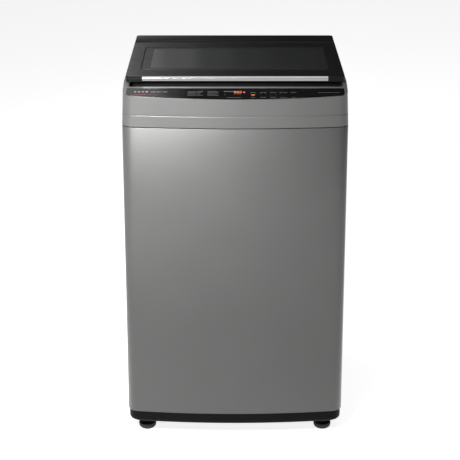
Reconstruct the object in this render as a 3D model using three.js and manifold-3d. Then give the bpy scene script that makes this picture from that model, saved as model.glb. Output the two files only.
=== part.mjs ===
// A top load washing machine: bowed sheet steel cabinet, glazed lid, sloping control panel at the front,
// and a sprung tub with a spinning basket, a pulsator and a belt drive underneath.
// Millimetres, +Z up, +Y towards the back. The origin is on the floor, under the middle of the machine.
import * as THREE from "three";
import { mergeVertices } from "three/addons/utils/BufferGeometryUtils.js";
import Module from "manifold-3d";

const wasm = await Module();
wasm.setup();

// ---- Driving dimensions ----
const GAP = 0.3; // between pieces that touch
const ROUND = 28; // sides of the large round parts
const RUNNING_GAP = 0.6; // round a shaft or a key that moves

// Body
const WIDTH = 540;
const DEPTH = 562;
const FRONT_BOW = 20; // how far the middle of the front stands out past its corners
const FRONT_CORNER_RADIUS = 24;
const BACK_CORNER_RADIUS = 10;
const SHEET = 1;
const CABINET_HEIGHT = 741;
const CABINET_FLANGE = 14;
const BACK_RECESS = 6; // the back panel lies this far inside the machine's depth
const BACK_FLANGE = 32;

// Base and feet
const FLOOR_CLEARANCE = 37;
const BASE_HEIGHT = 30;
const BASE_INSET = 2.5;
const BASE_WALL = 4;
const FOOT_INSET = 46; // from the machine's side and corner line to a foot's centre
const FOOT_PAD_RADIUS = 22;
const FOOT_PAD_HEIGHT = 16;
const FOOT_SOLE_RADIUS = 14;
const FOOT_COLLAR_RADIUS = 11;
const STUD_RADIUS = 5;
const STUD_LENGTH = 42; // above the foot's collar
const BOSS_RADIUS = 15;

// Top cover
const COVER_SKIRT = 70.5; // from the cabinet's top edge to the panel's front edge
const COVER_TAPER = 3.5; // how far each side leans in at the top
const COVER_WALL = 3;
const COVER_RAIL = 13; // width of the ledge beside the lid
const PANEL_RUN = 59.5;
const PANEL_RISE = 18;
const RAIL_RISE = 7.4; // from the panel's back edge up to the lid's seat
const GROOVE_DROP = 39; // from the panel's front edge down to the groove in the skirt
const GROOVE_WIDTH = 2.4;
const GROOVE_DEPTH = 1;

// Control panel
const PANEL_THICKNESS = 2.5;
const PANEL_MARGIN = 10.5; // grey border at the panel's two ends
const PANEL_EDGE = 3; // grey border at its front
const PANEL_LEDGE = 8; // grey border at its back
const KEY_COUNT = 5;
const KEY_FIRST_X = 42;
const KEY_PITCH = 23.8;
const KEY_LENGTH = 13;
const KEY_WIDTH = 7;
const KEY_PROUD = 0.4;
const KEY_TRAVEL = 1;
const BOARD_THICKNESS = 2;
const BOARD_LENGTH = 200;
const BOARD_WIDTH = 40;

// Lid
const LID_THICKNESS = 14;
const LID_SIDE_GAP = 8; // from the machine's side to the lid's side
const LID_WALL = 2.5;
const LID_CORNER_RADIUS = 9;
const HINGE_GAP = 1.6;
const PIN_RADIUS = 2.8;
const HINGE_EAR = 8;
const PIN_LENGTH = 20;
const WINDOW_SIDE = 32; // frame beside the glass
const WINDOW_FRONT = 74;
const WINDOW_BACK = 66;
const WINDOW_RADIUS = 10;
const GLASS_THICKNESS = 4;
const GLASS_SINK = 0.6;
const GLASS_REST = 5;
const HANDLE_SIDE = 40; // from the lid's side to the end of the trim
const HANDLE_HEIGHT = 12;
const HANDLE_THICKNESS = 3;

// Deck under the lid
const REAR_COVER_DEPTH = 89;
const DECK_WALL = 3;
const TROUGH_DEPTH = 23;
const TROUGH_WIDTH = 34;
const TROUGH_MOUTH = 14; // open part of the trough, in front of the lid
const OPENING_SIDE = 85; // from the machine's side to the loading opening
const OPENING_FRONT = 101; // from the bowed front
const OPENING_BACK = 117;
const OPENING_RADIUS = 110;
const FUNNEL_DEPTH = 115;

// Tub, basket and pulsator
const TUB_SWING_GAP = 33; // between the tub and the cabinet
const TUB_WALL = 4;
const TUB_TOP_DROP = 66; // from the cabinet's top edge
const TUB_FLOOR = 5;
const TUB_BORE_RADIUS = 28;
const TUB_BOSS_RADIUS = 42;
const RING_INNER_DROP = 44; // radial width of the splash ring
const BASKET_GAP = 17;
const BASKET_WALL = 0.8;
const BASKET_RISE = 27; // basket floor above the tub's underside
const BASKET_DROP = 45; // basket rim below the tub's rim
const BALANCE_HEIGHT = 38;
const BALANCE_WIDTH = 36;
const PULSATOR_GAP = 49; // between the pulsator and the basket wall
const FIN_COUNT = 4;
const FIN_HEIGHT = 22;
const FIN_WIDTH = 13;
const FILTER_HALF_ANGLE = 0.2;
const FILTER_THICKNESS = 14;
const FILTER_HEIGHT = 190;
const FILTER_RISE = 66; // above the basket's floor

// Drive
const PULLEY_CLEARANCE = 23; // above the base
const PULLEY_HEIGHT = 16;
const PULLEY_FLANGE = 3;
const GROOVE_SINK = 5;
const DRIVE_PULLEY_RADIUS = 66;
const MOTOR_PULLEY_RADIUS = 34;
const MOTOR_DISTANCE = 150;
const MOTOR_RADIUS = 62;
const GEARCASE_RADIUS = 44;
const GEARCASE_HEIGHT = 94;
const BRACKET_THICKNESS = 3;
const BRACKET_HALF_WIDTH = 92;
const SPIN_SHAFT_RADIUS = 12.5;
const WASH_SHAFT_RADIUS = 8;
const SCREW_SHANK_RADIUS = 3.5;

// Suspension
const ROD_INSET = 65; // from the cabinet's side and corner line
const ROD_RADIUS = 3;
const ROD_HEAD_RADIUS = 9;
const GUSSET_LEG = 150;
const GUSSET_DROP = 25;
const GUSSET_THICKNESS = 3;
const LUG_RISE = 95; // above the tub's underside
const LUG_HEIGHT = 14;
const LUG_WIDTH = 38;
const SPRING_RADIUS = 13;
const SPRING_WIRE = 1.6;
const SPRING_LENGTH = 60;
const SPRING_TURNS = 4;

// Water and mains
const PUMP_RADIUS = 32;
const PUMP_HEIGHT = 38;
const HOSE_RADIUS = 16;
const HOSE_WALL = 3;
const OUTLET_RADIUS = 11;
const DRAWER_WIDTH = 110;
const DRAWER_DEPTH = 92;
const DRAWER_HEIGHT = 30;
const DRAWER_WALL = 2;
const VALVE_X = 150;
const INLET_RADIUS = 13.2;
const GLAND_RADIUS = 9;
const REAR_SCREW_RADIUS = 2;
const REAR_SCREW_HEAD = 5;

// ---- Levels and lines that follow from them ----
const BASE_TOP = FLOOR_CLEARANCE + BASE_HEIGHT;
const CABINET_TOP = BASE_TOP + CABINET_HEIGHT;
const PANEL_LOW = CABINET_TOP + COVER_SKIRT;
const PANEL_HIGH = PANEL_LOW + PANEL_RISE;
const LID_SEAT = PANEL_HIGH + RAIL_RISE;
const LID_TOP = LID_SEAT + GAP + LID_THICKNESS;
const HALF = WIDTH / 2;
const BACK = DEPTH / 2;
const FRONT = -BACK;
const CORNER_LINE = FRONT + FRONT_BOW;
const PANEL_FRONT = FRONT + COVER_TAPER;
const PANEL_BACK = PANEL_FRONT + PANEL_RUN;
const LID_FRONT = PANEL_BACK + TROUGH_MOUTH;
const REAR_COVER_FRONT = BACK - REAR_COVER_DEPTH;
const HINGE_RADIUS = LID_THICKNESS / 2; // round rear edge of the lid
const HINGE_Y = REAR_COVER_FRONT - HINGE_GAP - HINGE_RADIUS;
const HINGE_Z = LID_TOP - HINGE_RADIUS;
const LID_HALF = HALF - LID_SIDE_GAP;
const DECK_HALF = HALF - COVER_TAPER - COVER_RAIL;
const PANEL_TILT = Math.atan2(PANEL_RISE, PANEL_RUN);

const PULLEY_BOTTOM = BASE_TOP + PULLEY_CLEARANCE;
const PULLEY_TOP = PULLEY_BOTTOM + PULLEY_HEIGHT;
const GEARCASE_BOTTOM = PULLEY_TOP + 22;
const BRACKET_BOTTOM = GEARCASE_BOTTOM + GEARCASE_HEIGHT;
const BRACKET_TOP = BRACKET_BOTTOM + BRACKET_THICKNESS;
const TUB_BOTTOM = BRACKET_TOP + 10;
const TUB_TOP = CABINET_TOP - TUB_TOP_DROP;
const TUB_RADIUS = Math.min(HALF, BACK) - SHEET - TUB_SWING_GAP;
const BASKET_RADIUS = TUB_RADIUS - TUB_WALL - BASKET_GAP;
const BASKET_BOTTOM = TUB_BOTTOM + BASKET_RISE;
const BASKET_TOP = TUB_TOP - BASKET_DROP;
const PULSATOR_RADIUS = BASKET_RADIUS - BASKET_WALL - PULSATOR_GAP;
const SHAFT_SPLIT = GEARCASE_BOTTOM + 22; // where the spin shaft starts, above the pulley's own shaft
const WASH_TOP = BASKET_BOTTOM + 16;
const LUG_BOTTOM = TUB_BOTTOM + LUG_RISE;
const GUSSET_TOP = CABINET_TOP - GUSSET_DROP;
const NOZZLE_RADIUS = HOSE_RADIUS - HOSE_WALL - RUNNING_GAP;
const PUMP_AT = (TUB_RADIUS - TUB_WALL - HOSE_RADIUS - 4) * Math.SQRT1_2;
const ROD_X = HALF - ROD_INSET;
const ROD_FRONT_Y = CORNER_LINE + ROD_INSET;
const ROD_BACK_Y = BACK - BACK_RECESS - ROD_INSET;
const FOOT_X = HALF - FOOT_INSET;
const FOOT_FRONT_Y = CORNER_LINE + FOOT_INSET;
const FOOT_BACK_Y = BACK - FOOT_INSET;
const CORNERS = [
  ["front_left", -1, -1],
  ["front_right", 1, -1],
  ["rear_left", -1, 1],
  ["rear_right", 1, 1],
];

// ---- Materials ----
const finish = (color, roughness, metalness = 0) =>
  new THREE.MeshStandardMaterial({ color, roughness, metalness });
const GRAPHITE_PAINT = finish(0x77787a, 0.35, 0.6);
const GREY_MOULDING = finish(0x808183, 0.4, 0.4);
const BLACK_MOULDING = finish(0x141414, 0.45);
const GLOSS_BLACK = finish(0x060606, 0.08);
const SMOKED_GLASS = finish(0x0c0d0e, 0.05);
const CHROME = finish(0xd4d4d6, 0.15, 1);
const GALVANISED = finish(0xa8aaad, 0.45, 0.9);
const STAINLESS = finish(0xc4c5c8, 0.25, 1);
const WHITE_PLASTIC = finish(0xe4e4e0, 0.5);
const GREY_PLASTIC = finish(0x9a9c9e, 0.5);
const RUBBER = finish(0x1a1a1a, 0.8);
const CAST_ALUMINIUM = finish(0xb4b6b8, 0.5, 0.9);
const STEEL = finish(0x8c8e92, 0.35, 1);
const BOARD_GREEN = finish(0x1e5a34, 0.6);

// ---- Solids ----
// A closed three.js geometry as a manifold solid whose faces point outwards.
function solid(geometry) {
  const flat = geometry.index ? geometry.toNonIndexed() : geometry;
  const bare = new THREE.BufferGeometry();
  bare.setAttribute("position", flat.getAttribute("position"));
  const merged = mergeVertices(bare, 1e-3);
  const vertProperties = new Float32Array(merged.attributes.position.array);
  const triVerts = new Uint32Array(merged.index.array);
  const build = () => new wasm.Manifold(new wasm.Mesh({ numProp: 3, vertProperties, triVerts }));
  const made = build();
  if (made.volume() >= 0) return made;
  for (let i = 0; i < triVerts.length; i += 3) {
    [triVerts[i + 1], triVerts[i + 2]] = [triVerts[i + 2], triVerts[i + 1]];
  }
  return build();
}

function geometryOf(body) {
  const mesh = body.getMesh();
  const geometry = new THREE.BufferGeometry();
  geometry.setAttribute("position", new THREE.BufferAttribute(new Float32Array(mesh.vertProperties), 3));
  geometry.setIndex(new THREE.BufferAttribute(new Uint32Array(mesh.triVerts), 1));
  const flat = geometry.toNonIndexed();
  flat.computeVertexNormals();
  return flat;
}

const join = (first, ...others) => others.reduce((made, other) => made.add(other), first);
const cut = (first, ...others) => others.reduce((made, other) => made.subtract(other), first);

const point = (x, y) => new THREE.Vector2(x, y);
const points = (pairs) => pairs.map(([x, y]) => point(x, y));

function arc(x, y, radius, from, to, steps) {
  return Array.from({ length: steps + 1 }, (_, i) => {
    const angle = from + ((to - from) * i) / steps;
    return point(x + radius * Math.cos(angle), y + radius * Math.sin(angle));
  });
}

// A solid of revolution about +Z, from [radius, height] pairs that close on themselves or on the axis.
function turned(profile, segments) {
  const onAxis = profile[0][0] === 0;
  const closed = onAxis ? profile : [...profile, profile[0]];
  return solid(new THREE.LatheGeometry(points(closed), segments).rotateX(Math.PI / 2));
}

function rod(radius, length, segments = 12) {
  return turned([[0, 0], [radius, 0], [radius, length], [0, length]], segments);
}

function tube(outer, inner, length, segments = 16) {
  return turned([[inner, 0], [outer, 0], [outer, length], [inner, length]], segments);
}

// A box between two corners.
function box(x0, y0, z0, x1, y1, z1) {
  const geometry = new THREE.BoxGeometry(x1 - x0, y1 - y0, z1 - z0);
  return solid(geometry.translate((x0 + x1) / 2, (y0 + y1) / 2, (z0 + z1) / 2));
}

// A plan outline raised from z0 to z1.
function prism(outline, z0, z1, holes = []) {
  const shape = new THREE.Shape(outline);
  shape.holes = holes.map((hole) => new THREE.Path(hole));
  const geometry = new THREE.ExtrudeGeometry(shape, { depth: z1 - z0, bevelEnabled: false });
  return solid(geometry.translate(0, 0, z0));
}

// A side profile of [y, z] pairs run from x0 to x1.
function sideways(profile, x0, x1) {
  const shape = new THREE.Shape(points(profile));
  const geometry = new THREE.ExtrudeGeometry(shape, { depth: x1 - x0, bevelEnabled: false });
  // The shape's x and y become the part's y and z, and its depth runs along x.
  const turn = new THREE.Matrix4().set(0, 0, 1, x0, 1, 0, 0, 0, 0, 1, 0, 0, 0, 0, 0, 1);
  return solid(geometry.applyMatrix4(turn));
}

function roundedRectangle(x0, y0, x1, y1, radius, steps = 4) {
  const turn = Math.PI / 2;
  return [
    ...arc(x1 - radius, y0 + radius, radius, -turn, 0, steps),
    ...arc(x1 - radius, y1 - radius, radius, 0, turn, steps),
    ...arc(x0 + radius, y1 - radius, radius, turn, 2 * turn, steps),
    ...arc(x0 + radius, y0 + radius, radius, 2 * turn, 3 * turn, steps),
  ];
}

// The machine's plan outline pulled in by an inset: a bowed front, round corners and a straight back.
function bodyOutline(inset, backInset = inset) {
  const half = HALF - inset;
  const back = BACK - backInset;
  const radius = Math.max(FRONT_CORNER_RADIUS - inset, 2);
  const backRadius = Math.max(BACK_CORNER_RADIUS - inset, 1.5);
  const centreY = CORNER_LINE + inset + radius;
  const lean = Math.atan((2 * FRONT_BOW) / (HALF - FRONT_CORNER_RADIUS));
  const bowEnd = half - radius + radius * Math.sin(lean);
  const bowEndY = centreY - radius * Math.cos(lean);
  const bowRise = bowEndY - (FRONT + inset);
  const bowSteps = 10;
  const bow = Array.from({ length: bowSteps - 1 }, (_, i) => {
    const x = bowEnd * ((2 * (i + 1)) / bowSteps - 1);
    return point(x, bowEndY - bowRise * (1 - (x / bowEnd) ** 2));
  });
  const turn = Math.PI / 2;
  return [
    ...bow,
    ...arc(half - radius, centreY, radius, -turn + lean, 0, 4),
    ...arc(half - backRadius, back - backRadius, backRadius, 0, turn, 2),
    ...arc(-half + backRadius, back - backRadius, backRadius, turn, 2 * turn, 2),
    ...arc(-half + radius, centreY, radius, 2 * turn, 3 * turn - lean, 4),
  ];
}

// Joins rings of points, all of one length, into a closed skin. Open runs are capped at both ends.
function skin(rings, closed) {
  const count = rings[0].length;
  const at = (ring, i) => rings[ring % rings.length][i % count];
  const corners = [];
  const runs = closed ? rings.length : rings.length - 1;
  for (let r = 0; r < runs; r++) {
    for (let i = 0; i < count; i++) {
      corners.push(at(r, i), at(r, i + 1), at(r + 1, i + 1), at(r, i), at(r + 1, i + 1), at(r + 1, i));
    }
  }
  if (!closed) {
    const flat = rings[0].map((p) => point(p.x, p.y));
    for (const [a, b, c] of THREE.ShapeUtils.triangulateShape(flat, [])) {
      corners.push(at(0, a), at(0, c), at(0, b));
      corners.push(at(rings.length - 1, a), at(rings.length - 1, b), at(rings.length - 1, c));
    }
  }
  return solid(new THREE.BufferGeometry().setFromPoints(corners));
}

const raised = (outline, z) => outline.map((p) => new THREE.Vector3(p.x, p.y, z));

// A section of [inset, z] pairs carried round the body's outline.
function band(section, backInset = 0) {
  return skin(section.map(([inset, z]) => raised(bodyOutline(inset, inset + backInset), z)), true);
}

// ---- The scene graph ----
const machine = new THREE.Group();

function piece(name, body, material, parent = machine) {
  const mesh = new THREE.Mesh(geometryOf(body), material);
  mesh.name = name;
  parent.add(mesh);
  return mesh;
}

function groupAt(x, y, z, parent = machine) {
  const group = new THREE.Group();
  group.position.set(x, y, z);
  parent.add(group);
  return group;
}

const rodPlace = (sideX, sideY) => [sideX * ROD_X, sideY < 0 ? ROD_FRONT_Y : ROD_BACK_Y];
const footPlace = (sideX, sideY) => [sideX * FOOT_X, sideY < 0 ? FOOT_FRONT_Y : FOOT_BACK_Y];

// Holes for the four screws that hold the back panel, at the corners of the cabinet's rear flange.
const SCREW_X = HALF - BACK_FLANGE / 2;
const SCREW_ZS = [BASE_TOP + BACK_FLANGE * 2, CABINET_TOP - BACK_FLANGE * 2];
const PANEL_OUTER_Y = BACK - BACK_RECESS;
const FLANGE_OUTER_Y = PANEL_OUTER_Y - SHEET - GAP;

function screwHoles() {
  const holes = [];
  for (const side of [-1, 1]) {
    for (const z of SCREW_ZS) {
      const hole = solid(
        new THREE.CylinderGeometry(REAR_SCREW_RADIUS + GAP, REAR_SCREW_RADIUS + GAP, 30, 8)
          .translate(side * SCREW_X, PANEL_OUTER_Y, z),
      );
      holes.push(hole);
    }
  }
  return holes;
}

// Cabinet: one wrapped sheet with turned-in flanges, an open back, and a gusset in each top corner.
function cabinetWrap() {
  const low = BASE_TOP;
  const high = CABINET_TOP;
  const wrapBack = BACK - FLANGE_OUTER_Y;
  const wrap = band(
    [
      [0, low],
      [0, high],
      [CABINET_FLANGE, high],
      [CABINET_FLANGE, high - SHEET],
      [SHEET, high - SHEET],
      [SHEET, low + SHEET],
      [CABINET_FLANGE, low + SHEET],
      [CABINET_FLANGE, low],
    ],
    wrapBack,
  );
  const side = HALF - BACK_FLANGE;
  const service = box(-side, BACK - 40, low + BACK_FLANGE, side, BACK, high - BACK_FLANGE);
  const plan = bodyOutline(SHEET / 2, SHEET / 2 + wrapBack);
  const inside = prism(plan, GUSSET_TOP - GUSSET_THICKNESS, GUSSET_TOP);
  const gussets = CORNERS.map(([, sx, sy]) => {
    const x = sx * HALF;
    const y = sy < 0 ? CORNER_LINE - FRONT_BOW : BACK;
    const leg = GUSSET_LEG + (sy < 0 ? FRONT_BOW : BACK_RECESS);
    const corner = points([[x, y], [x - sx * leg, y], [x, y - sy * leg]]);
    const plate = prism(corner, GUSSET_TOP - GUSSET_THICKNESS, GUSSET_TOP).intersect(inside);
    const [rx, ry] = rodPlace(sx, sy);
    return cut(plate, rod(ROD_RADIUS + 1, 20, 10).translate([rx, ry, GUSSET_TOP - 10]));
  });
  const outlet = across(OUTLET_RADIUS + HOSE_WALL + 1, -PUMP_AT, OUTLET_Z);
  return join(cut(wrap, service, outlet, ...screwHoles()), ...gussets);
}

// Back panel: a flat sheet with a pressed field, and holes for the drain outlet and the mains gland.
const OUTLET_Z = BASE_TOP + 14 + OUTLET_RADIUS;
const GLAND_AT = [HALF - 92, CABINET_TOP - 60];

function backPanel() {
  const half = HALF - 8;
  const low = BASE_TOP + 4;
  const high = CABINET_TOP - 4;
  const sheet = box(-half, PANEL_OUTER_Y - SHEET, low, half, PANEL_OUTER_Y, high);
  const fieldHalf = half - 70;
  const press = 3;
  const fieldFront = PANEL_OUTER_Y - SHEET - press;
  const field = box(-fieldHalf, fieldFront, low + 110, fieldHalf, PANEL_OUTER_Y, high - 120);
  const hollow = box(
    -fieldHalf + SHEET,
    PANEL_OUTER_Y - press,
    low + 110 + SHEET,
    fieldHalf - SHEET,
    PANEL_OUTER_Y + 1,
    high - 120 - SHEET,
  );
  return cut(
    join(sheet, field),
    hollow,
    across(OUTLET_RADIUS + HOSE_WALL + 1, -PUMP_AT, OUTLET_Z),
    across(GLAND_RADIUS + GAP, GLAND_AT[0], GLAND_AT[1]),
    ...screwHoles(),
  );
}

// A hole through the back of the machine.
function across(radius, x, z) {
  return solid(new THREE.CylinderGeometry(radius, radius, 40, 16).translate(x, PANEL_OUTER_Y, z));
}

function rearScrew() {
  const head = rod(REAR_SCREW_HEAD, 2.6, 10);
  const shank = rod(REAR_SCREW_RADIUS, 12, 8).translate([0, 0, -12 + 0.1]);
  return join(head, shank);
}

// Base: a moulded skirt with a round lower edge, a deck with the drive opening, and four foot bosses.
function baseFrame() {
  const top = BASE_TOP - GAP;
  const skirt = band([
    [BASE_INSET, top],
    [BASE_INSET, FLOOR_CLEARANCE + 8],
    [BASE_INSET + 2.4, FLOOR_CLEARANCE + 2.4],
    [BASE_INSET + 8, FLOOR_CLEARANCE],
    [BASE_INSET + 14, FLOOR_CLEARANCE],
    [BASE_INSET + 14, FLOOR_CLEARANCE + BASE_WALL],
    [BASE_INSET + BASE_WALL, FLOOR_CLEARANCE + 9],
    [BASE_INSET + BASE_WALL, top],
  ]);
  const openingRadius = PUMP_AT * Math.SQRT2 - PUMP_RADIUS - 6;
  const deck = cut(
    prism(bodyOutline(BASE_INSET + 1), top - BASE_WALL, top),
    rod(openingRadius, 40, 24).translate([0, 0, top - 20]),
  );
  const bosses = CORNERS.map(([, sx, sy]) => {
    const [x, y] = footPlace(sx, sy);
    return rod(BOSS_RADIUS, top - 1 - FLOOR_CLEARANCE, 12).translate([x, y, FLOOR_CLEARANCE]);
  });
  const bores = CORNERS.map(([, sx, sy]) => {
    const [x, y] = footPlace(sx, sy);
    return rod(STUD_RADIUS + GAP, 60, 10).translate([x, y, FLOOR_CLEARANCE - 10]);
  });
  return cut(join(skirt, deck, ...bosses), ...bores);
}

// A levelling foot: a soft sole, a collar that stops against the base's boss, and a threaded stud.
function foot() {
  const shoulder = FLOOR_CLEARANCE - GAP;
  return turned(
    [
      [0, 0],
      [FOOT_SOLE_RADIUS, 0],
      [FOOT_SOLE_RADIUS + 5, 3],
      [FOOT_PAD_RADIUS, 8],
      [FOOT_PAD_RADIUS, FOOT_PAD_HEIGHT],
      [FOOT_COLLAR_RADIUS, FOOT_PAD_HEIGHT + 3],
      [FOOT_COLLAR_RADIUS, shoulder],
      [STUD_RADIUS, shoulder],
      [STUD_RADIUS, shoulder + STUD_LENGTH],
      [0, shoulder + STUD_LENGTH],
    ],
    12,
  );
}

// Panel plate outline in the panel's own plane, where y runs up the slope from the front edge.
const SLOPE = Math.hypot(PANEL_RUN, PANEL_RISE);

function panelOutline(grow) {
  const end = HALF - COVER_TAPER - PANEL_MARGIN + grow;
  const radius = 8;
  const back = SLOPE - PANEL_LEDGE + grow;
  const bowAt = (x) => PANEL_EDGE - grow + FRONT_BOW * (x / HALF) ** 2;
  const steps = 8;
  const bowHalf = end - radius;
  const front = Array.from({ length: steps + 1 }, (_, i) => {
    const x = bowHalf * ((2 * i) / steps - 1);
    return point(x, bowAt(x));
  });
  return [
    ...front,
    ...arc(end - radius, bowAt(bowHalf) + radius, radius, -Math.PI / 3, 0, 3),
    ...arc(end - 3, back - 3, 3, 0, Math.PI / 2, 2),
    ...arc(-end + 3, back - 3, 3, Math.PI / 2, Math.PI, 2),
    ...arc(-end + radius, bowAt(bowHalf) + radius, radius, Math.PI, (4 * Math.PI) / 3, 3),
  ];
}

const toPanelFrame = new THREE.Matrix4()
  .makeTranslation(0, PANEL_FRONT, PANEL_LOW)
  .multiply(new THREE.Matrix4().makeRotationX(PANEL_TILT));

function inPanelFrame(body) {
  return solid(geometryOf(body).applyMatrix4(toPanelFrame));
}

// Top cover: a tapered skirt that rises to the sloping panel and to the ledge the lid closes on.
function coverProfile(drop) {
  return [
    [FRONT - 5, CABINET_TOP - 50],
    [FRONT - 5, PANEL_LOW - drop],
    [PANEL_FRONT, PANEL_LOW - drop],
    [PANEL_BACK, PANEL_HIGH - drop],
    [LID_FRONT, LID_SEAT - drop],
    [BACK + 5, LID_SEAT - drop],
    [BACK + 5, CABINET_TOP - 50],
  ];
}

function topCover() {
  const low = CABINET_TOP + GAP;
  const groove = PANEL_LOW - GROOVE_DROP;
  const rise = LID_SEAT - low;
  const lean = (z) => (COVER_TAPER * (z - low)) / rise;
  const ring = (z, extra = 0) => raised(bodyOutline(lean(z) + extra), z);
  const outside = skin(
    [
      ring(low),
      ring(groove - GROOVE_WIDTH),
      ring(groove - GROOVE_WIDTH + 0.5, GROOVE_DEPTH),
      ring(groove, GROOVE_DEPTH),
      ring(groove + 0.5),
      ring(LID_SEAT),
    ],
    false,
  );
  const inside = skin([ring(low - 2, COVER_WALL), ring(LID_SEAT + 2, COVER_WALL)], false);
  const shell = outside.intersect(sideways(coverProfile(0), -HALF - 5, HALF + 5));
  const hollow = inside.intersect(sideways(coverProfile(COVER_WALL), -HALF - 5, HALF + 5));
  const deckHole = box(
    -DECK_HALF - GAP,
    PANEL_BACK,
    low + 20,
    DECK_HALF + GAP,
    BACK - COVER_WALL - COVER_TAPER - 1,
    LID_SEAT + 10,
  );
  const pocket = inPanelFrame(prism(panelOutline(GAP), -PANEL_THICKNESS - GAP, 10));
  const underPanel = inPanelFrame(
    prism(roundedRectangle(-BOARD_LENGTH / 2 - 20, 12, BOARD_LENGTH, SLOPE - 8, 3, 2), -12, 1),
  );
  const inletSlot = box(VALVE_X - 26, BACK - 20, LID_SEAT - 46, VALVE_X + 26, BACK + 1, LID_SEAT + 1);
  return cut(shell, hollow, deckHole, pocket, underPanel, inletSlot);
}

function keyOutline(grow) {
  const radius = KEY_WIDTH / 2 + grow;
  const straight = (KEY_LENGTH - KEY_WIDTH) / 2;
  return [
    ...arc(straight, 0, radius, -Math.PI / 2, Math.PI / 2, 5),
    ...arc(-straight, 0, radius, Math.PI / 2, (3 * Math.PI) / 2, 5),
  ];
}

const KEY_Y = SLOPE * 0.46;
const keyX = (i) => KEY_FIRST_X + i * KEY_PITCH;
const KEY_DEPTH = PANEL_THICKNESS + 1.5;

function controlPanel() {
  const plate = prism(panelOutline(0), -PANEL_THICKNESS, 0);
  const holes = Array.from({ length: KEY_COUNT }, (_, i) =>
    prism(keyOutline(RUNNING_GAP / 2), -10, 10).translate([keyX(i), KEY_Y, 0]),
  );
  return cut(plate, ...holes);
}

function keyCap() {
  return prism(keyOutline(0), -KEY_DEPTH, KEY_PROUD);
}

// Circuit board with a row of switches under the keys and the display module under the panel.
function controlBoard() {
  const top = -KEY_DEPTH - KEY_TRAVEL - 1.4;
  const board = box(
    -BOARD_LENGTH / 2 + 50,
    KEY_Y - BOARD_WIDTH / 2 + 4,
    top - BOARD_THICKNESS,
    BOARD_LENGTH / 2 + 60,
    KEY_Y + BOARD_WIDTH / 2 - 8,
    top,
  );
  const display = box(-20, KEY_Y, top - 0.5, 30, KEY_Y + 9, -PANEL_THICKNESS - GAP);
  const switches = Array.from({ length: KEY_COUNT }, (_, i) =>
    box(keyX(i) - 3, KEY_Y - 3, top - 0.5, keyX(i) + 3, KEY_Y + 3, top + 1),
  );
  return join(board, display, ...switches);
}

// Deck: the black moulding under the lid, with the finger trough, the loading opening and its funnel.
const OPENING = [
  -HALF + OPENING_SIDE,
  FRONT + OPENING_FRONT,
  HALF - OPENING_SIDE,
  BACK - OPENING_BACK,
];

function openingOutline(grow) {
  const [x0, y0, x1, y1] = OPENING;
  return roundedRectangle(x0 - grow, y0 - grow, x1 + grow, y1 + grow, OPENING_RADIUS + grow, 6);
}

const DRAWER_TOP = LID_SEAT - DECK_WALL - 8;
const DRAWER_BOTTOM = DRAWER_TOP - DRAWER_HEIGHT;
const DRAWER_FRONT = OPENING[3];

function deck() {
  const low = LID_SEAT - TROUGH_DEPTH;
  const inner = DECK_HALF - DECK_WALL;
  const front = PANEL_BACK + GAP;
  const wallBack = front + TROUGH_WIDTH;
  const backEdge = BACK - COVER_WALL - COVER_TAPER - 1 - GAP;
  const plate = box(-DECK_HALF, wallBack - DECK_WALL, LID_SEAT - DECK_WALL, DECK_HALF, backEdge, LID_SEAT);
  const trough = cut(
    box(-DECK_HALF, front, low, DECK_HALF, wallBack, LID_SEAT),
    box(-inner, front + DECK_WALL, low + DECK_WALL, inner, wallBack - DECK_WALL, LID_SEAT + 1),
    box(-inner, front - 1, PANEL_HIGH - GAP, inner, front + DECK_WALL + 1, LID_SEAT + 1),
  );
  const funnel = prism(openingOutline(DECK_WALL), LID_SEAT - FUNNEL_DEPTH, LID_SEAT);
  const mouth = prism(openingOutline(0), LID_SEAT - FUNNEL_DEPTH - 1, LID_SEAT + 1);
  const drawerHole = box(
    -DRAWER_WIDTH / 2 - RUNNING_GAP,
    DRAWER_FRONT - 20,
    DRAWER_BOTTOM - RUNNING_GAP,
    DRAWER_WIDTH / 2 + RUNNING_GAP,
    DRAWER_FRONT + DECK_WALL + 2,
    DRAWER_TOP + RUNNING_GAP,
  );
  const inletSlot = box(VALVE_X - 26, BACK - 24, LID_SEAT - 20, VALVE_X + 26, BACK, LID_SEAT + 1);
  return cut(join(plate, trough, funnel), mouth, drawerHole, inletSlot);
}

function dispenserHousing() {
  const half = DRAWER_WIDTH / 2 + RUNNING_GAP + DRAWER_WALL;
  const y0 = DRAWER_FRONT + DECK_WALL + GAP;
  const y1 = DRAWER_FRONT + DRAWER_DEPTH + 4;
  const z0 = DRAWER_BOTTOM - RUNNING_GAP - DRAWER_WALL;
  const z1 = DRAWER_TOP + RUNNING_GAP + DRAWER_WALL;
  const shell = cut(
    box(-half, y0, z0, half, y1, z1),
    box(
      -half + DRAWER_WALL,
      y0 - 1,
      z0 + DRAWER_WALL,
      half - DRAWER_WALL,
      y1 - DRAWER_WALL,
      z1 - DRAWER_WALL,
    ),
  );
  return shell;
}

function detergentDrawer() {
  const half = DRAWER_WIDTH / 2;
  const y0 = DRAWER_FRONT;
  const y1 = DRAWER_FRONT + DRAWER_DEPTH;
  const wall = DRAWER_WALL;
  const tray = box(-half, y0, DRAWER_BOTTOM, half, y1, DRAWER_TOP);
  const cups = [
    [-half + wall, -wall / 2],
    [wall / 2, half - wall],
  ].map(([x0, x1]) => box(x0, y0 + 8, DRAWER_BOTTOM + wall, x1, y1 - wall, DRAWER_TOP + 1));
  const pull = box(-22, y0 - 1, DRAWER_BOTTOM - 1, 22, y0 + 4, DRAWER_BOTTOM + 9);
  return cut(tray, ...cups, pull);
}

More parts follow.
